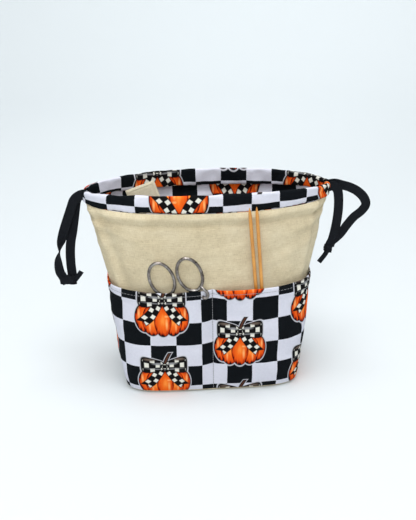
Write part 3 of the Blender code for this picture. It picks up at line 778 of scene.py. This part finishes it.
def stitch_row(name, frames, length, width):
    """Row of short raised stitches; a frame is a middle, the way out and the way along."""
    points, faces = [], []
    for place, out, along in frames:
        across = along.cross(out).normalized()
        faces += tube_faces(5, 6, start=len(points))
        for step, lift in ((-0.5, -0.3), (-0.36, 0.7), (0.0, 1.0), (0.36, 0.7), (0.5, -0.3)):
            points += [place + along * step * length + across * x * width / 2
                       + out * (y * width / 2 + lift * width * 0.35) for x, y in circle(6)]
    return add_piece(name, "thread", points, faces, {"cloth": [(p.x + p.y, p.z) for p in points]})


def band_frames(stations, heights, side):
    """Frames for stitches along a line on the band's outer face."""
    def point(station, z, extra):
        row = np.array([station])
        along = wall_row(row, z, 0.0, side)[1]
        offset = pocket_offset(row, along, z, side) + BAND_THICKNESS * float(hem_share(z)) + 0.00005
        return Vector(wall_row(row, z, offset + extra, side)[0][0])
    places = [point(s, z, 0.0) for s, z in zip(stations, heights)]
    raised = [point(s, z, 0.001) for s, z in zip(stations, heights)]
    return [(place, (above - place).normalized(), direction_at(places, k))
            for k, (place, above) in enumerate(zip(places, raised))]


def make_pocket_stitches(side, face):
    stations = np.linspace(-1.96, 1.96, 92)
    frames = band_frames(stations, [POCKET_TOP - HEM_STITCH_DROP] * len(stations), side)
    on_body(stitch_row(f"hem_stitches_{face}", frames, *HEM_STITCH), "bag")
    heights = np.linspace(0.004, POCKET_TOP - 0.0012, 42)
    frames = band_frames([0.0] * len(heights), heights, side)
    divider = stitch_row(f"divider_stitches_{face}", frames, *DIVIDER_STITCH)
    on_body(divider, "bag", f"divider_stitch_{face}")


# ---- casing
# Print on each casing: place of its zero along, height of its zero, pitch, direction and shift
CASING_PRINT = {FRONT: (0.0113, 0.1914, 0.0266, -1.0, 0.0), BACK: (0.0166, 0.1887, 0.0256, 1.0, 4.0)}
CASING_CLOTH = 0.0006


def casing_point(station, side, across, up):
    x, depth, along = section_row(np.array([station]), across, CASING_HALF_X, CASING_HALF_Y, 2.0)
    z = CASING_Z - CASING_END_DROP * end_share(x[0]) + up
    return Vector((x[0], side * depth[0], z)), float(along[0])


def casing_print(side, along, z, across):
    """One printed strip that runs up one face of the casing, over the rim and down the other."""
    zero, height, pitch, way, shift = CASING_PRINT[side]
    over_rim = 2 * (CASING_Z + CASING_HALF_HEIGHT) - z
    first, other = (z, over_rim) if side == FRONT else (over_rim, z)
    outside, inside = (1.0 + way * (place - height) / pitch for place in (first, other))
    share = float(smooth(0.5 + 0.5 * across / 0.3))
    return way * (along - zero) / pitch + shift, outside * share + inside * (1.0 - share)


def casing_outline(around):
    """Points round a flattened loop of cloth, from its outer foot: across and up, each -1 to 1."""
    loop = []
    for k in range(around):
        turn = tau * (k / around) - pi / 2 + 0.35
        across, up = cos(turn), sin(turn)
        loop.append((copysign(abs(across) ** 0.55, across), copysign(abs(up) ** 0.42, up)))
    return loop


def casing_puff(side, along, across, up):
    """Puckers where the strip is gathered by its seam, and soft lumps elsewhere."""
    lumps = float(waves(np.array(along), np.array(up * 0.008 + across * 0.004),
                        CASING_SEED + side, 6, 0.012, 0.034)) * 0.00055
    pucker = sin(along * tau / 0.0075 + 2.0 * sin(along * 90.0))
    return lumps + pucker * 0.00030 * max(0.0, -up) ** 2 * (1.0 if across > 0 else 0.8)


def make_casing(side, face):
    """Tube of printed cloth round the mouth, open at both ends."""
    stations = np.linspace(-CASING_END_STATION, CASING_END_STATION, 150)
    loop = casing_outline(36)
    points, prints, cloths = [], [], []
    for wall in (0.0, CASING_CLOTH):
        for station in stations:
            middle, along = casing_point(station, side, 0.0, 0.0)
            half_height = CASING_HALF_HEIGHT - CASING_END_TAPER * float(end_share(middle.x)) - wall
            run, before = 0.0, None
            for across, up in loop:
                puff = casing_puff(side, along, across, up)
                place, _ = casing_point(station, side, across * (CASING_HALF_THICKNESS - wall + puff),
                                        up * (half_height + 0.5 * puff))
                run += (place - before).length if before else 0.0
                before = place
                points.append(place)
                prints.append(casing_print(side, along, place.z, across))
                cloths.append((along, run))
    count, rows = len(loop), len(stations)
    shell = rows * count
    faces = grid_faces(rows, count, wrap_columns=True)
    faces += [tuple(shell + k for k in reversed(face)) for face in faces]
    for start in (0, (rows - 1) * count):
        for k in range(count):
            here, after = start + k, start + (k + 1) % count
            faces.append((here, after, shell + after, shell + here))
    casing = add_piece(f"casing_cloth_{face}", "printed_cotton", points, faces,
                       {"print": prints, "cloth": cloths})
    over_fold(casing, side, face, f"casing_{face}_left", f"casing_{face}_right", f"mouth_casing_{face}")


# ---- tapes
LOOP_WIDTH, TAPE_WIDTH, TAIL_WIDTH, TAPE_THICKNESS = 0.0092, 0.0070, 0.0050, 0.0009
ROUTE_STEP = 0.0012
# Inside the casing one drawstring runs above the other, and each swaps from outer to inner side
STRING_LIFT, STRING_ASIDE = 0.0037, 0.0008
UP, LEFT, RIGHT = (0.0, 0.0, 1.0), (-1.0, 0.0, 0.0), (1.0, 0.0, 0.0)
LEFT_SLANT, RIGHT_SLANT = (0.6, 0.0, -0.8), (-0.8, 0.0, 0.6)
# Places in millimetres and width directions; each route ends or, for a tail, starts inside its knot
ROUTES = {
    "left_strand_front": (
        (-116.6, -3.4, 192.2, UP), (-118.7, -2.6, 192.3, UP), (-122.7, -2.2, 191.6, UP),
        (-126.8, -2.2, 187.6, (-0.7, 0.0, 0.7)), (-129.8, -2.2, 180.5, LEFT),
        (-134.0, -2.2, 170.0, LEFT), (-138.6, -2.2, 158.0, LEFT),
        (-142.2, -2.0, 147.0, (-0.9, -0.5, 0.0)),
        (-144.6, -1.8, 136.0, (0.0, -1.0, 0.0)), (-147.0, -1.8, 124.5, (0.9, -0.5, 0.0)),
        (-146.6, -1.8, 115.0, RIGHT), (-144.8, -1.8, 110.4, RIGHT), (-143.2, -1.4, 106.6, RIGHT)),
    "left_strand_back": (
        (-116.6, 3.4, 191.8, UP), (-118.7, 2.6, 191.9, UP), (-122.3, 2.2, 190.6, UP),
        (-125.2, 2.2, 185.5, (-0.8, 0.0, 0.6)), (-126.9, 2.2, 177.0, LEFT), (-129.0, 2.2, 166.0, LEFT),
        (-131.2, 2.2, 155.0, LEFT), (-133.6, 2.2, 145.0, LEFT), (-135.2, 2.2, 133.0, LEFT),
        (-135.6, 2.0, 121.0, LEFT), (-135.2, 1.8, 109.8, LEFT), (-135.1, 1.2, 105.2, LEFT)),
    "right_strand_front": (
        (116.6, -3.4, 192.0, UP), (118.7, -2.6, 192.5, UP), (122.2, -2.2, 192.5, UP),
        (125.8, -2.2, 188.6, (0.7, 0.0, 0.7)), (127.3, -2.2, 181.0, RIGHT), (127.7, -2.2, 170.0, RIGHT),
        (126.9, -2.2, 158.0, RIGHT), (125.3, -2.0, 147.0, RIGHT), (123.6, -1.6, 138.0, RIGHT),
        (122.0, -1.4, 133.5, RIGHT), (121.1, -1.1, 129.6, RIGHT)),
    "right_strand_back": (
        (116.6, 3.4, 192.4, UP), (118.7, 2.6, 193.4, UP), (124.0, 2.2, 194.0, UP),
        (131.0, 2.2, 192.0, UP), (139.0, 2.2, 189.4, UP), (146.8, 2.2, 185.0, (0.5, 0.0, 0.86)),
        (153.2, 2.2, 178.6, (0.7, 0.0, 0.7)), (155.8, 2.2, 171.2, RIGHT),
        (151.8, 2.2, 164.6, (0.7, 0.0, -0.7)), (144.5, 2.2, 158.4, (0.7, 0.0, -0.7)),
        (138.2, 2.2, 150.4, (0.8, 0.0, -0.6)), (132.4, 2.0, 142.0, (0.8, 0.0, -0.6)),
        (126.8, 1.6, 136.6, (0.8, 0.0, -0.6)), (123.2, 1.5, 133.6, (1.0, 0.0, -0.1)),
        (121.4, 1.0, 130.2, (1.0, 0.0, -0.4))),
    "left_tail": (
        (-133.4, -1.0, 103.6, LEFT_SLANT), (-130.2, -0.8, 107.4, LEFT_SLANT),
        (-128.0, -1.0, 110.2, LEFT_SLANT), (-125.6, -1.2, 113.6, LEFT_SLANT)),
    "right_tail": (
        (118.8, -0.6, 124.0, RIGHT_SLANT), (116.8, -0.8, 120.8, RIGHT_SLANT),
        (114.2, -1.0, 117.2, RIGHT_SLANT), (111.0, -1.2, 113.0, RIGHT_SLANT)),
}
# Each knot's centre, half sizes and wraps; a wrap is a closed band: its axis, reach and width
KNOTS = {
    "left": ((-0.1395, 0.0, 0.1046), (0.0082, 0.0036, 0.0044),
             (((0.04, 0.10, 1.0), 1.04, 0.0074), ((-0.30, 0.20, 0.95), 0.97, 0.0060),
              ((0.95, 0.10, 0.35), 0.80, 0.0060))),
    "right": ((0.1199, 0.0, 0.1274), (0.0044, 0.0040, 0.0048),
              (((0.4, 0.1, 1.0), 0.95, 0.0060), ((1.0, 0.2, -0.3), 0.98, 0.0050),
               ((0.6, -0.3, 0.8), 1.0, 0.0034))),
}
# Where a strand would be drawn out near its outlet as its loop is pulled: where that starts and ends,
# outward and up; the strand is not lengthened
DRAWN_START, DRAWN_END = (0.0020, 0.0), (0.0074, -0.0026)


def smooth_route(name):
    """Evenly spaced places and width directions along a route."""
    spots = [(x / 1000, y / 1000, z / 1000, *width) for x, y, z, width in ROUTES[name]]
    rows = curve_rows(spots, 24, step=ROUTE_STEP)
    return [Vector(row[:3]) for row in rows], [Vector(row[3:]) for row in rows]


def tape_section(width):
    """Section of flat tape with rounded, slightly thicker edges: across and out."""
    half, deep = width / 2, TAPE_THICKNESS / 2
    corner = [(0.72, -0.82), (0.90, -1.0), (0.985, -0.62), (1.0, 0.0), (0.985, 0.62), (0.90, 1.0),
              (0.72, 0.82)]
    shares = (corner + [(0.3, 0.86), (-0.3, 0.86)] + [(-a, b) for a, b in reversed(corner)]
              + [(-0.3, -0.86), (0.3, -0.86)])
    return [(half * a, deep * b) for a, b in shares]


def tape_shape(places, widths, width, closed=False, start=0):
    """Points, faces and cloth coordinates of a stretch of tape."""
    section = tape_section(width)
    points, uv, run = [], [], 0.0
    for i, place in enumerate(places):
        along = direction_at(places, i, closed)
        across = (widths[i] - along * widths[i].dot(along)).normalized()
        out = along.cross(across)
        if i:
            run += (place - places[i - 1]).length
        points += [place + across * a + out * b for a, b in section]
        uv += [(run, a) for a, _ in section]
    if closed:
        faces = grid_faces(len(places), len(section), wrap_rows=True, wrap_columns=True, start=start)
    else:
        faces = tube_faces(len(places), len(section), start)
    return points, faces, uv


def make_tape(name, places, widths, width=TAPE_WIDTH):
    points, faces, uv = tape_shape(places, widths, width)
    return add_piece(name, "tape", points, faces, {"cloth": uv})


def knot_shape(centre, half, wraps):
    """Tape wound over itself round a small core."""
    centre, half = Vector(centre), Vector(half)
    rings, around, core, turns, snug = 9, 18, 0.80, 36, 0.93
    points, uv = [], []
    for i in range(rings):
        tilt = pi * (i + 0.5) / rings
        for k in range(around):
            turn = tau * k / around
            out = Vector((sin(tilt) * cos(turn), sin(tilt) * sin(turn), cos(tilt)))
            points.append(centre + Vector(a * b * core for a, b in zip(out, half)))
            uv.append((turn * 0.004, tilt * 0.004))
    faces = tube_faces(rings, around)
    for axis, reach, width in wraps:
        axis = Vector(axis).normalized()
        one = axis.orthogonal().normalized()
        two = axis.cross(one)
        places, widths = [], []
        for k in range(turns):
            turn = tau * k / turns
            out = one * cos(turn) + two * sin(turn)
            squeeze = 1.0 / sqrt(sum((a / b) ** 2 for a, b in zip(out, half)))
            places.append(centre + out * squeeze * reach * snug + axis * 0.0005 * sin(2 * turn))
            widths.append(axis + out * 0.25 * sin(turn))
        made = tape_shape(places, widths, width, closed=True, start=len(points))
        points, faces, uv = points + made[0], faces + made[1], uv + made[2]
    return points, faces, uv


def make_drawstring_ends(owner):
    """Both strands of one pull loop, with the knot and the tail they end in."""
    body = f"drawstring_{owner}"
    points, faces, uv = knot_shape(*KNOTS[owner])
    knot = add_piece(f"{owner}_pull_knot", "tape", points, faces, {"cloth": uv})
    tail = make_tape(f"{owner}_tape_tail", *smooth_route(f"{owner}_tail"), TAIL_WIDTH)
    on_body(knot, body, f"{owner}_knot")
    on_body(tail, body, f"{owner}_tail")
    for face in ("front", "back"):
        node = f"{owner}_strand_{face}"
        places, widths = smooth_route(node)
        strand = make_tape(f"{owner}_tape_{face}", places, widths, LOOP_WIDTH)
        start, end = (Vector((places[0].x + copysign(out, places[0].x), 0.0, places[0].z + up))
                      for out, up in (DRAWN_START, DRAWN_END))
        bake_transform(strand)
        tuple(start)
        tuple(end)
        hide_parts(node)
        tuple(places[0])
        [tuple(p) for p in places]


def make_tape_in_casing(owner, outlet):
    """Drawstring inside the casing: outer side near its outlet, inner side at the far seam."""
    for side, face in FACES:
        places = []
        for s in np.linspace(outlet * CASING_END_STATION, -outlet * 1.999, 90):
            swap = float(smooth((outlet * s + 0.3) / 0.6))
            lift = -outlet * STRING_LIFT * float(smooth((0.9 - abs(s)) / 0.35))
            places.append(casing_point(s, side, STRING_ASIDE * (2.0 * swap - 1.0), lift)[0])
        tape = make_tape(f"{owner}_tape_in_casing_{face}", places, [Vector(UP)] * len(places))
        over_fold(tape, side, face, f"{owner}_string_near_{face}", f"mouth_{owner}_string_{face}",
                  *([f"{owner}_string_bend"] if side == FRONT else []))


# ---- base and side seams
def base_outline(offset, count=81):
    """Closed plan outline of the base."""
    stations = np.linspace(-2.0, 2.0, count)
    front, back = (wall_row(stations, 0.0, offset, side)[0] for side in (FRONT, BACK))
    return list(front[:-1]) + list(back[:0:-1])


def plate_piece(name, slot, profile):
    """Plate of the base's outline; profile lists (offset, height) up its rounded edge."""
    rings = [base_outline(offset) for offset, _ in profile]
    shares = np.linspace(0.0, 0.92, 14)
    points = [(p[0] * (1 - share), p[1] * (1 - share), profile[0][1])
              for share in shares[::-1] for p in rings[0]]
    for ring, (_, z) in list(zip(rings, profile))[1:-1]:
        points += [(p[0], p[1], z) for p in ring]
    points += [(p[0] * (1 - share), p[1] * (1 - share), profile[-1][1])
               for share in shares for p in rings[-1]]
    count = len(rings[0])
    uv = {"cloth": [(p[0], p[1]) for p in points],
          "print": [(p[0] / CHECK + 0.5, p[1] / CHECK + 0.3) for p in points]}
    return add_piece(name, slot, points, tube_faces(len(points) // count, count), uv)


def make_base():
    panel = plate_piece("base_cloth", "canvas", [
        (-0.0030, 0.0), (-0.0006, 0.0001), (0.0004, 0.0006), (0.0008, 0.0013), (0.0005, 0.0019),
        (-0.0001, 0.0021), (-0.0009, 0.0017), (-0.0014, 0.0010)])
    on_body(panel, "bag", "base_panel")
    floor = plate_piece("lining_floor", "printed_cotton", [
        (-0.0036, 0.0034), (-0.0028, 0.0035), (-0.0026, 0.0038), (-0.0028, 0.0041), (-0.0040, 0.0042)])
    on_body(floor, "bag", "lining_base")


# Each stretch of side seam: its name, slot, foot, top, distance from the wall and how far it is raised
SIDE_SEAMS = (("band", "printed_cotton", 0.0024, POCKET_TOP - 0.0006, 0.0011, 0.0011),
              ("canvas", "canvas", 0.1100, 0.1838, 0.0, 0.0008))
SEAM_HALF_WIDTH, SEAM_DEPTH, BAND_END = 0.0021, 0.0004, 0.1278


def make_side_seam(sign, label, part, slot, low, high, rest, proud):
    """Raised seam where the front and back cloth are sewn together at one side."""
    points, prints, cloths = [], [], []
    heights, arc = np.linspace(low, high, 60), np.linspace(-1.0, 1.0, 13)
    for z in heights:
        half_x = float(np.interp(z, SECTION_HEIGHTS, SECTION_HALF_X))
        wander = 0.00035 * sin(z * 330.0) + 0.0002 * sin(z * 910.0 + 1.0)
        for layer, t in [(1, t) for t in arc] + [(0, t) for t in arc[::-1]]:
            lift = (1.0 - t * t) * proud * layer
            x = half_x + rest - SEAM_DEPTH * abs(t) ** 3 + lift - SEAM_DEPTH * (1 - layer)
            y = t * SEAM_HALF_WIDTH + wander
            points.append((sign * x, y, z))
            prints.append(((sign * BAND_END + y - POCKET_PRINT_U) / POCKET_PITCH_U,
                           (z - POCKET_PRINT_Z) / POCKET_PITCH_Z))
            cloths.append((y, z))
    seam = add_piece(f"side_seam_{part}_{label}", slot, points, tube_faces(len(heights), 2 * len(arc)),
                     {"print": prints, "cloth": cloths})
    on_body(seam, "bag")


# ---- scissors
PIVOT = (-0.0268, -0.0519, 0.0827)
SCISSORS_TURNS = (91.4, -9.0, -3.0)
RING_X, RING_Y, RING_HALF_WIDTH, RING_HALF_LENGTH = 0.0132, 0.0441, 0.0110, 0.0171
RING_WIRE, RING_TILT, BLADE_LAYER, BLADE_LENGTH = 0.0016, radians(10.0), 0.00075, 0.038
HOOK_WIRE, FUSE_VOXEL = 0.0015, 0.00032
# The hook on the right ring: places from the ring, in metres
HOOK = ((0.0, 0.0, 0.0), (0.0012, -0.0004, 0.0014), (0.0026, -0.0018, 0.0027),
        (0.0046, -0.0044, 0.0031), (0.0056, -0.0078, 0.0031), (0.0042, -0.0106, 0.0029),
        (0.0014, -0.0108, 0.0027), (-0.0004, -0.0088, 0.0026))


def ring_point(hand, turn):
    a, b = RING_HALF_WIDTH * cos(turn), RING_HALF_LENGTH * sin(turn)
    x = hand * RING_X + a * cos(RING_TILT) - b * sin(RING_TILT)
    return Vector((x, RING_Y + a * sin(RING_TILT) + b * cos(RING_TILT), 0.0))


def bar(places, across_half, thick_half, closed=False, start=0):
    """Oval bar through places in the scissors' plane."""
    around, points = 14, []
    for i, place in enumerate(places):
        along = direction_at(places, i, closed)
        across = Vector((along.y, -along.x, 0.0)).normalized()
        face = along.cross(across)
        points += [place + across * x * across_half[i] + face * y * thick_half[i]
                   for x, y in circle(around, 0.5)]
    if closed:
        return points, grid_faces(len(places), around, wrap_rows=True, wrap_columns=True, start=start)
    return points, tube_faces(len(places), around, start)


def hook_shape(start):
    """Round wire that curls down and forward from the right ring."""
    root, around = ring_point(1, radians(-62.0)), 12
    rows = curve_rows([(*(root + Vector(step)), HOOK_WIRE) for step in HOOK], 12, count=40)
    points = []
    for i, row in enumerate(rows):
        along = direction_at(rows[:, :3], i)
        across = along.cross(Vector(RIGHT)).normalized()
        other = along.cross(across)
        points += [Vector(row[:3]) + (across * x + other * y) * row[3] for x, y in circle(around)]
    return points, tube_faces(len(rows), around, start)


def remeshed(piece, voxel, rounds):
    """The piece with its overlapping forms fused into one surface and smoothed."""
    fuse = piece.modifiers.new("fuse", 'REMESH')
    fuse.mode, fuse.voxel_size, fuse.use_smooth_shade = 'VOXEL', voxel, True
    relax = piece.modifiers.new("relax", 'SMOOTH')
    relax.factor, relax.iterations = 0.5, rounds
    graph = bpy.context.evaluated_depsgraph_get()
    made = bpy.data.meshes.new_from_object(piece.evaluated_get(graph))
    piece.modifiers.clear()
    old = piece.data
    piece.data = made
    bpy.data.meshes.remove(old)
    made.shade_smooth()


def make_handle(hand, label, matrix):
    """Finger ring and shank of one half, down to just below the pivot."""
    layer, steps = BLADE_LAYER * hand, 80
    ring = [ring_point(hand, tau * k / steps) for k in range(steps)]
    points, faces = bar(ring, [RING_WIRE] * steps, [RING_WIRE] * steps, closed=True)
    foot = ring_point(hand, radians(-115.0 if hand > 0 else -65.0))
    # Places on the shank, each with half its width and half its thickness
    spots = [(*foot, 0.0015, 0.0013), (foot.x * 0.72, 0.0215, 0.3 * layer, 0.0017, 0.0011),
             (foot.x * 0.46, 0.0140, layer, 0.0021, 0.0008),
             (foot.x * 0.22, 0.0070, layer, 0.0029, 0.00064),
             (0.0, 0.0, layer, 0.0034, 0.00064), (-0.0004 * hand, -0.0055, layer, 0.0030, 0.00060)]
    rows = curve_rows(spots, 12, count=30)
    more = [bar([Vector(row[:3]) for row in rows], rows[:, 3], rows[:, 4], start=len(points))]
    if hand > 0:
        more.append(hook_shape(len(points) + len(more[0][0])))
    for shape in more:
        points, faces = points + shape[0], faces + shape[1]
    handle = add_piece(f"scissors_handle_{label}", "steel", [matrix @ p for p in points], faces)
    remeshed(handle, FUSE_VOXEL, 6)
    return handle


def make_blade(hand, label, matrix):
    """Blade from the pivot to the point: thick back, ground edge, flat inner face."""
    layer, points, count = BLADE_LAYER * hand, [], 34
    for y in np.linspace(0.0062, -BLADE_LENGTH, count):
        share = max(0.0, -y / BLADE_LENGTH)
        wide = float(np.interp(y, (-BLADE_LENGTH, -0.030, -0.020, -0.006, 0.0, 0.0062),
                               (0.0003, 0.0013, 0.0021, 0.0030, 0.0034, 0.0024)))
        middle = -0.0005 * hand * share
        back, edge = middle - hand * wide, middle + hand * wide
        inner, outer = layer - hand * 0.00056, layer + hand * 0.00058 * (1.0 - 0.55 * share)
        bevel, chamfer = middle + hand * wide * 0.15, hand * 0.00012
        points += [Vector(p) for p in ((back, y, inner), (edge, y, inner), (edge, y, inner + chamfer),
                                       (bevel, y, outer), (back + hand * wide * 0.12, y, outer),
                                       (back, y, outer - chamfer))]
    return add_piece(f"scissors_blade_{label}", "steel", [matrix @ p for p in points],
                     tube_faces(count, 6), sharp=25.0)


def make_screw(matrix):
    """Domed slotted screw through both halves."""
    around, points, slot_half, slot_depth = 48, [], 0.00032, 0.00035
    face = BLADE_LAYER + 0.0009
    profile = [(0.0001, 0.00072), (0.0006, 0.00070), (0.0012, 0.00062), (0.0018, 0.00048),
               (0.0023, 0.00026), (0.0026, 0.00004), (0.0026, -0.00010), (0.0013, -0.00012)]
    profile = [(r, face + z) for r, z in profile]
    profile += [(r, -z) for r, z in reversed(profile)]
    for r, z in profile:
        for x, y in circle(around):
            in_slot = abs(r * x * 0.8 + r * y * 0.6) < slot_half and abs(z) > face
            sunk = z - copysign(slot_depth if in_slot else 0.0, z)
            points.append(matrix @ Vector((r * x, r * y, sunk)))
    return add_piece("scissors_screw", "steel", points, tube_faces(len(profile), around), sharp=30.0)


def make_scissors():
    x, y, z = SCISSORS_TURNS
    matrix = Matrix.Translation(PIVOT) @ turned(z, 'Z') @ turned(y, 'Y') @ turned(x, 'X')
    for hand, label, body in ((1, "right", "scissors"), (-1, "left", "scissors_left")):
        on_body(make_handle(hand, label, matrix), body, f"scissors_half_{label}")
        on_body(make_blade(hand, label, matrix), body)
    on_body(make_screw(matrix), "scissors", "scissors_pivot")


# ---- needles and sleeve
NEEDLES = {
    "needle_left": ((0.0494, -0.0499, 0.0136), (0.0346, -0.0517, 0.1910)),
    "needle_right": ((0.0537, -0.0497, 0.0140), (0.0411, -0.0517, 0.1914)),
}
NEEDLE_RADIUS, NEEDLE_LENGTH = 0.001625, 0.178


def make_needles():
    around = 28
    tips = [(0.0, 0.00010), (0.0004, 0.00034), (0.0012, 0.00058), (0.0030, 0.00098), (0.0055, 0.00136),
            (0.0080, 0.00157), (0.0105, NEEDLE_RADIUS)]
    profile = tips + [(z, NEEDLE_RADIUS) for z in np.linspace(0.02, NEEDLE_LENGTH - 0.02, 20)]
    profile += [(NEEDLE_LENGTH - z, r) for z, r in reversed(tips)]
    for index, (name, (foot, top)) in enumerate(NEEDLES.items()):
        along = (Vector(top) - Vector(foot)).normalized()
        one = along.orthogonal().normalized()
        two = along.cross(one)
        points, cloths = [], []
        for z, radius in profile:
            for k, (x, y) in enumerate(circle(around)):
                points.append(Vector(foot) + along * z + (one * x + two * y) * radius)
                cloths.append((z + 0.3 * index, abs(tau * k / around - pi) * NEEDLE_RADIUS))
        needle = add_piece(f"{name}_bamboo", "bamboo", points, tube_faces(len(profile), around),
                           {"cloth": cloths})
        on_body(needle, name, name)


SLEEVE_WIDTH, SLEEVE_LENGTH, SLEEVE_THICKNESS = 0.0290, 0.2008, 0.0024
SLEEVE_TOP_CORNER, SLEEVE_TILT = (-0.0505, 0.0, 0.2040), 19.0
SLEEVE_SEAM = 0.0030


def sleeve_place(matrix, x, z, layer):
    """Point of the sleeve's front (layer -1) or back (layer 1), from its top right corner."""
    edge = min(-x, x + SLEEVE_WIDTH, -z, z + SLEEVE_LENGTH)
    plump = float(smooth(edge / 0.0026)) * 0.72 + 0.28
    sewn = 1.0 - 0.45 * float(bump_at(edge, SLEEVE_SEAM, 0.0009))
    wave = 0.0006 * sin(z * 42.0 + 0.6) * sin((x + 0.004) * 95.0)
    return matrix @ Vector((x, layer * SLEEVE_THICKNESS / 2 * plump * sewn + wave * 0.4, z))


def make_needle_sleeve():
    """Flat sleeve of canvas, two layers thick, sewn close to its edges."""
    matrix = Matrix.Translation(SLEEVE_TOP_CORNER) @ turned(-SLEEVE_TILT, 'Y')
    xs = -SLEEVE_WIDTH * (0.5 - 0.5 * np.cos(np.linspace(0.0, pi, 25)))
    zs = -np.concatenate([np.linspace(0.0, 0.006, 12), np.linspace(0.0072, SLEEVE_LENGTH - 0.0072, 66),
                          np.linspace(SLEEVE_LENGTH - 0.006, SLEEVE_LENGTH, 12)])
    front, back = ([np.array([sleeve_place(matrix, float(x), float(z), layer) for x in xs]) for z in zs]
                   for layer in (-1, 1))
    cloth = [np.array([(x, z) for x in xs]) for z in zs]
    cloth += cloth[::-1]
    sleeve = closed_cloth("needle_sleeve_cloth", "canvas", front + back[::-1], cloth, cloth)
    on_body(sleeve, "needle_sleeve", "needle_sleeve")
    step, frames, turn = 0.0030, [], matrix.to_3x3()
    down = np.arange(SLEEVE_SEAM + step, SLEEVE_LENGTH - SLEEVE_SEAM, step)
    across = np.arange(SLEEVE_SEAM, SLEEVE_WIDTH - SLEEVE_SEAM + 0.0005, step * 0.95)
    line = [(x, -float(d), UP) for x in (-SLEEVE_SEAM, SLEEVE_SEAM - SLEEVE_WIDTH) for d in down]
    line += [(-float(a), -SLEEVE_SEAM, RIGHT) for a in across]
    for layer in (-1, 1):
        out = (turn @ Vector((0.0, layer, 0.0))).normalized()
        frames += [(sleeve_place(matrix, x, z, layer), out, (turn @ Vector(way)).normalized())
                   for x, z, way in line]
    stitches = stitch_row("sleeve_stitches", frames, *SLEEVE_STITCH)
    on_body(stitches, "needle_sleeve")
    for piece in (sleeve, stitches):
        piece.data.materials[0] = MATERIALS["sleeve_canvas"]


# ---- everything
def main():
    make_camera()
    for owner in ("left", "right"):
        make_drawstring_ends(owner)
    make_tape_in_casing("left", -1)
    make_tape_in_casing("right", 1)
    make_studio()
    make_floor()
    for side, face in FACES:
        for cloth in WALL_CLOTHS:
            make_wall_cloth(side, face, *cloth)
    for side, face in FACES:
        make_pocket_band(side, face)
        make_pocket_stitches(side, face)
        make_casing(side, face)
    for sign, label in ((-1, "left"), (1, "right")):
        for seam in SIDE_SEAMS:
            make_side_seam(sign, label, *seam)
    make_base()
    make_scissors()
    make_needles()
    make_needle_sleeve()
    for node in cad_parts.values():
        node.data.materials.clear()
        node.data.materials.append(MATERIALS["stiffener"])


main()
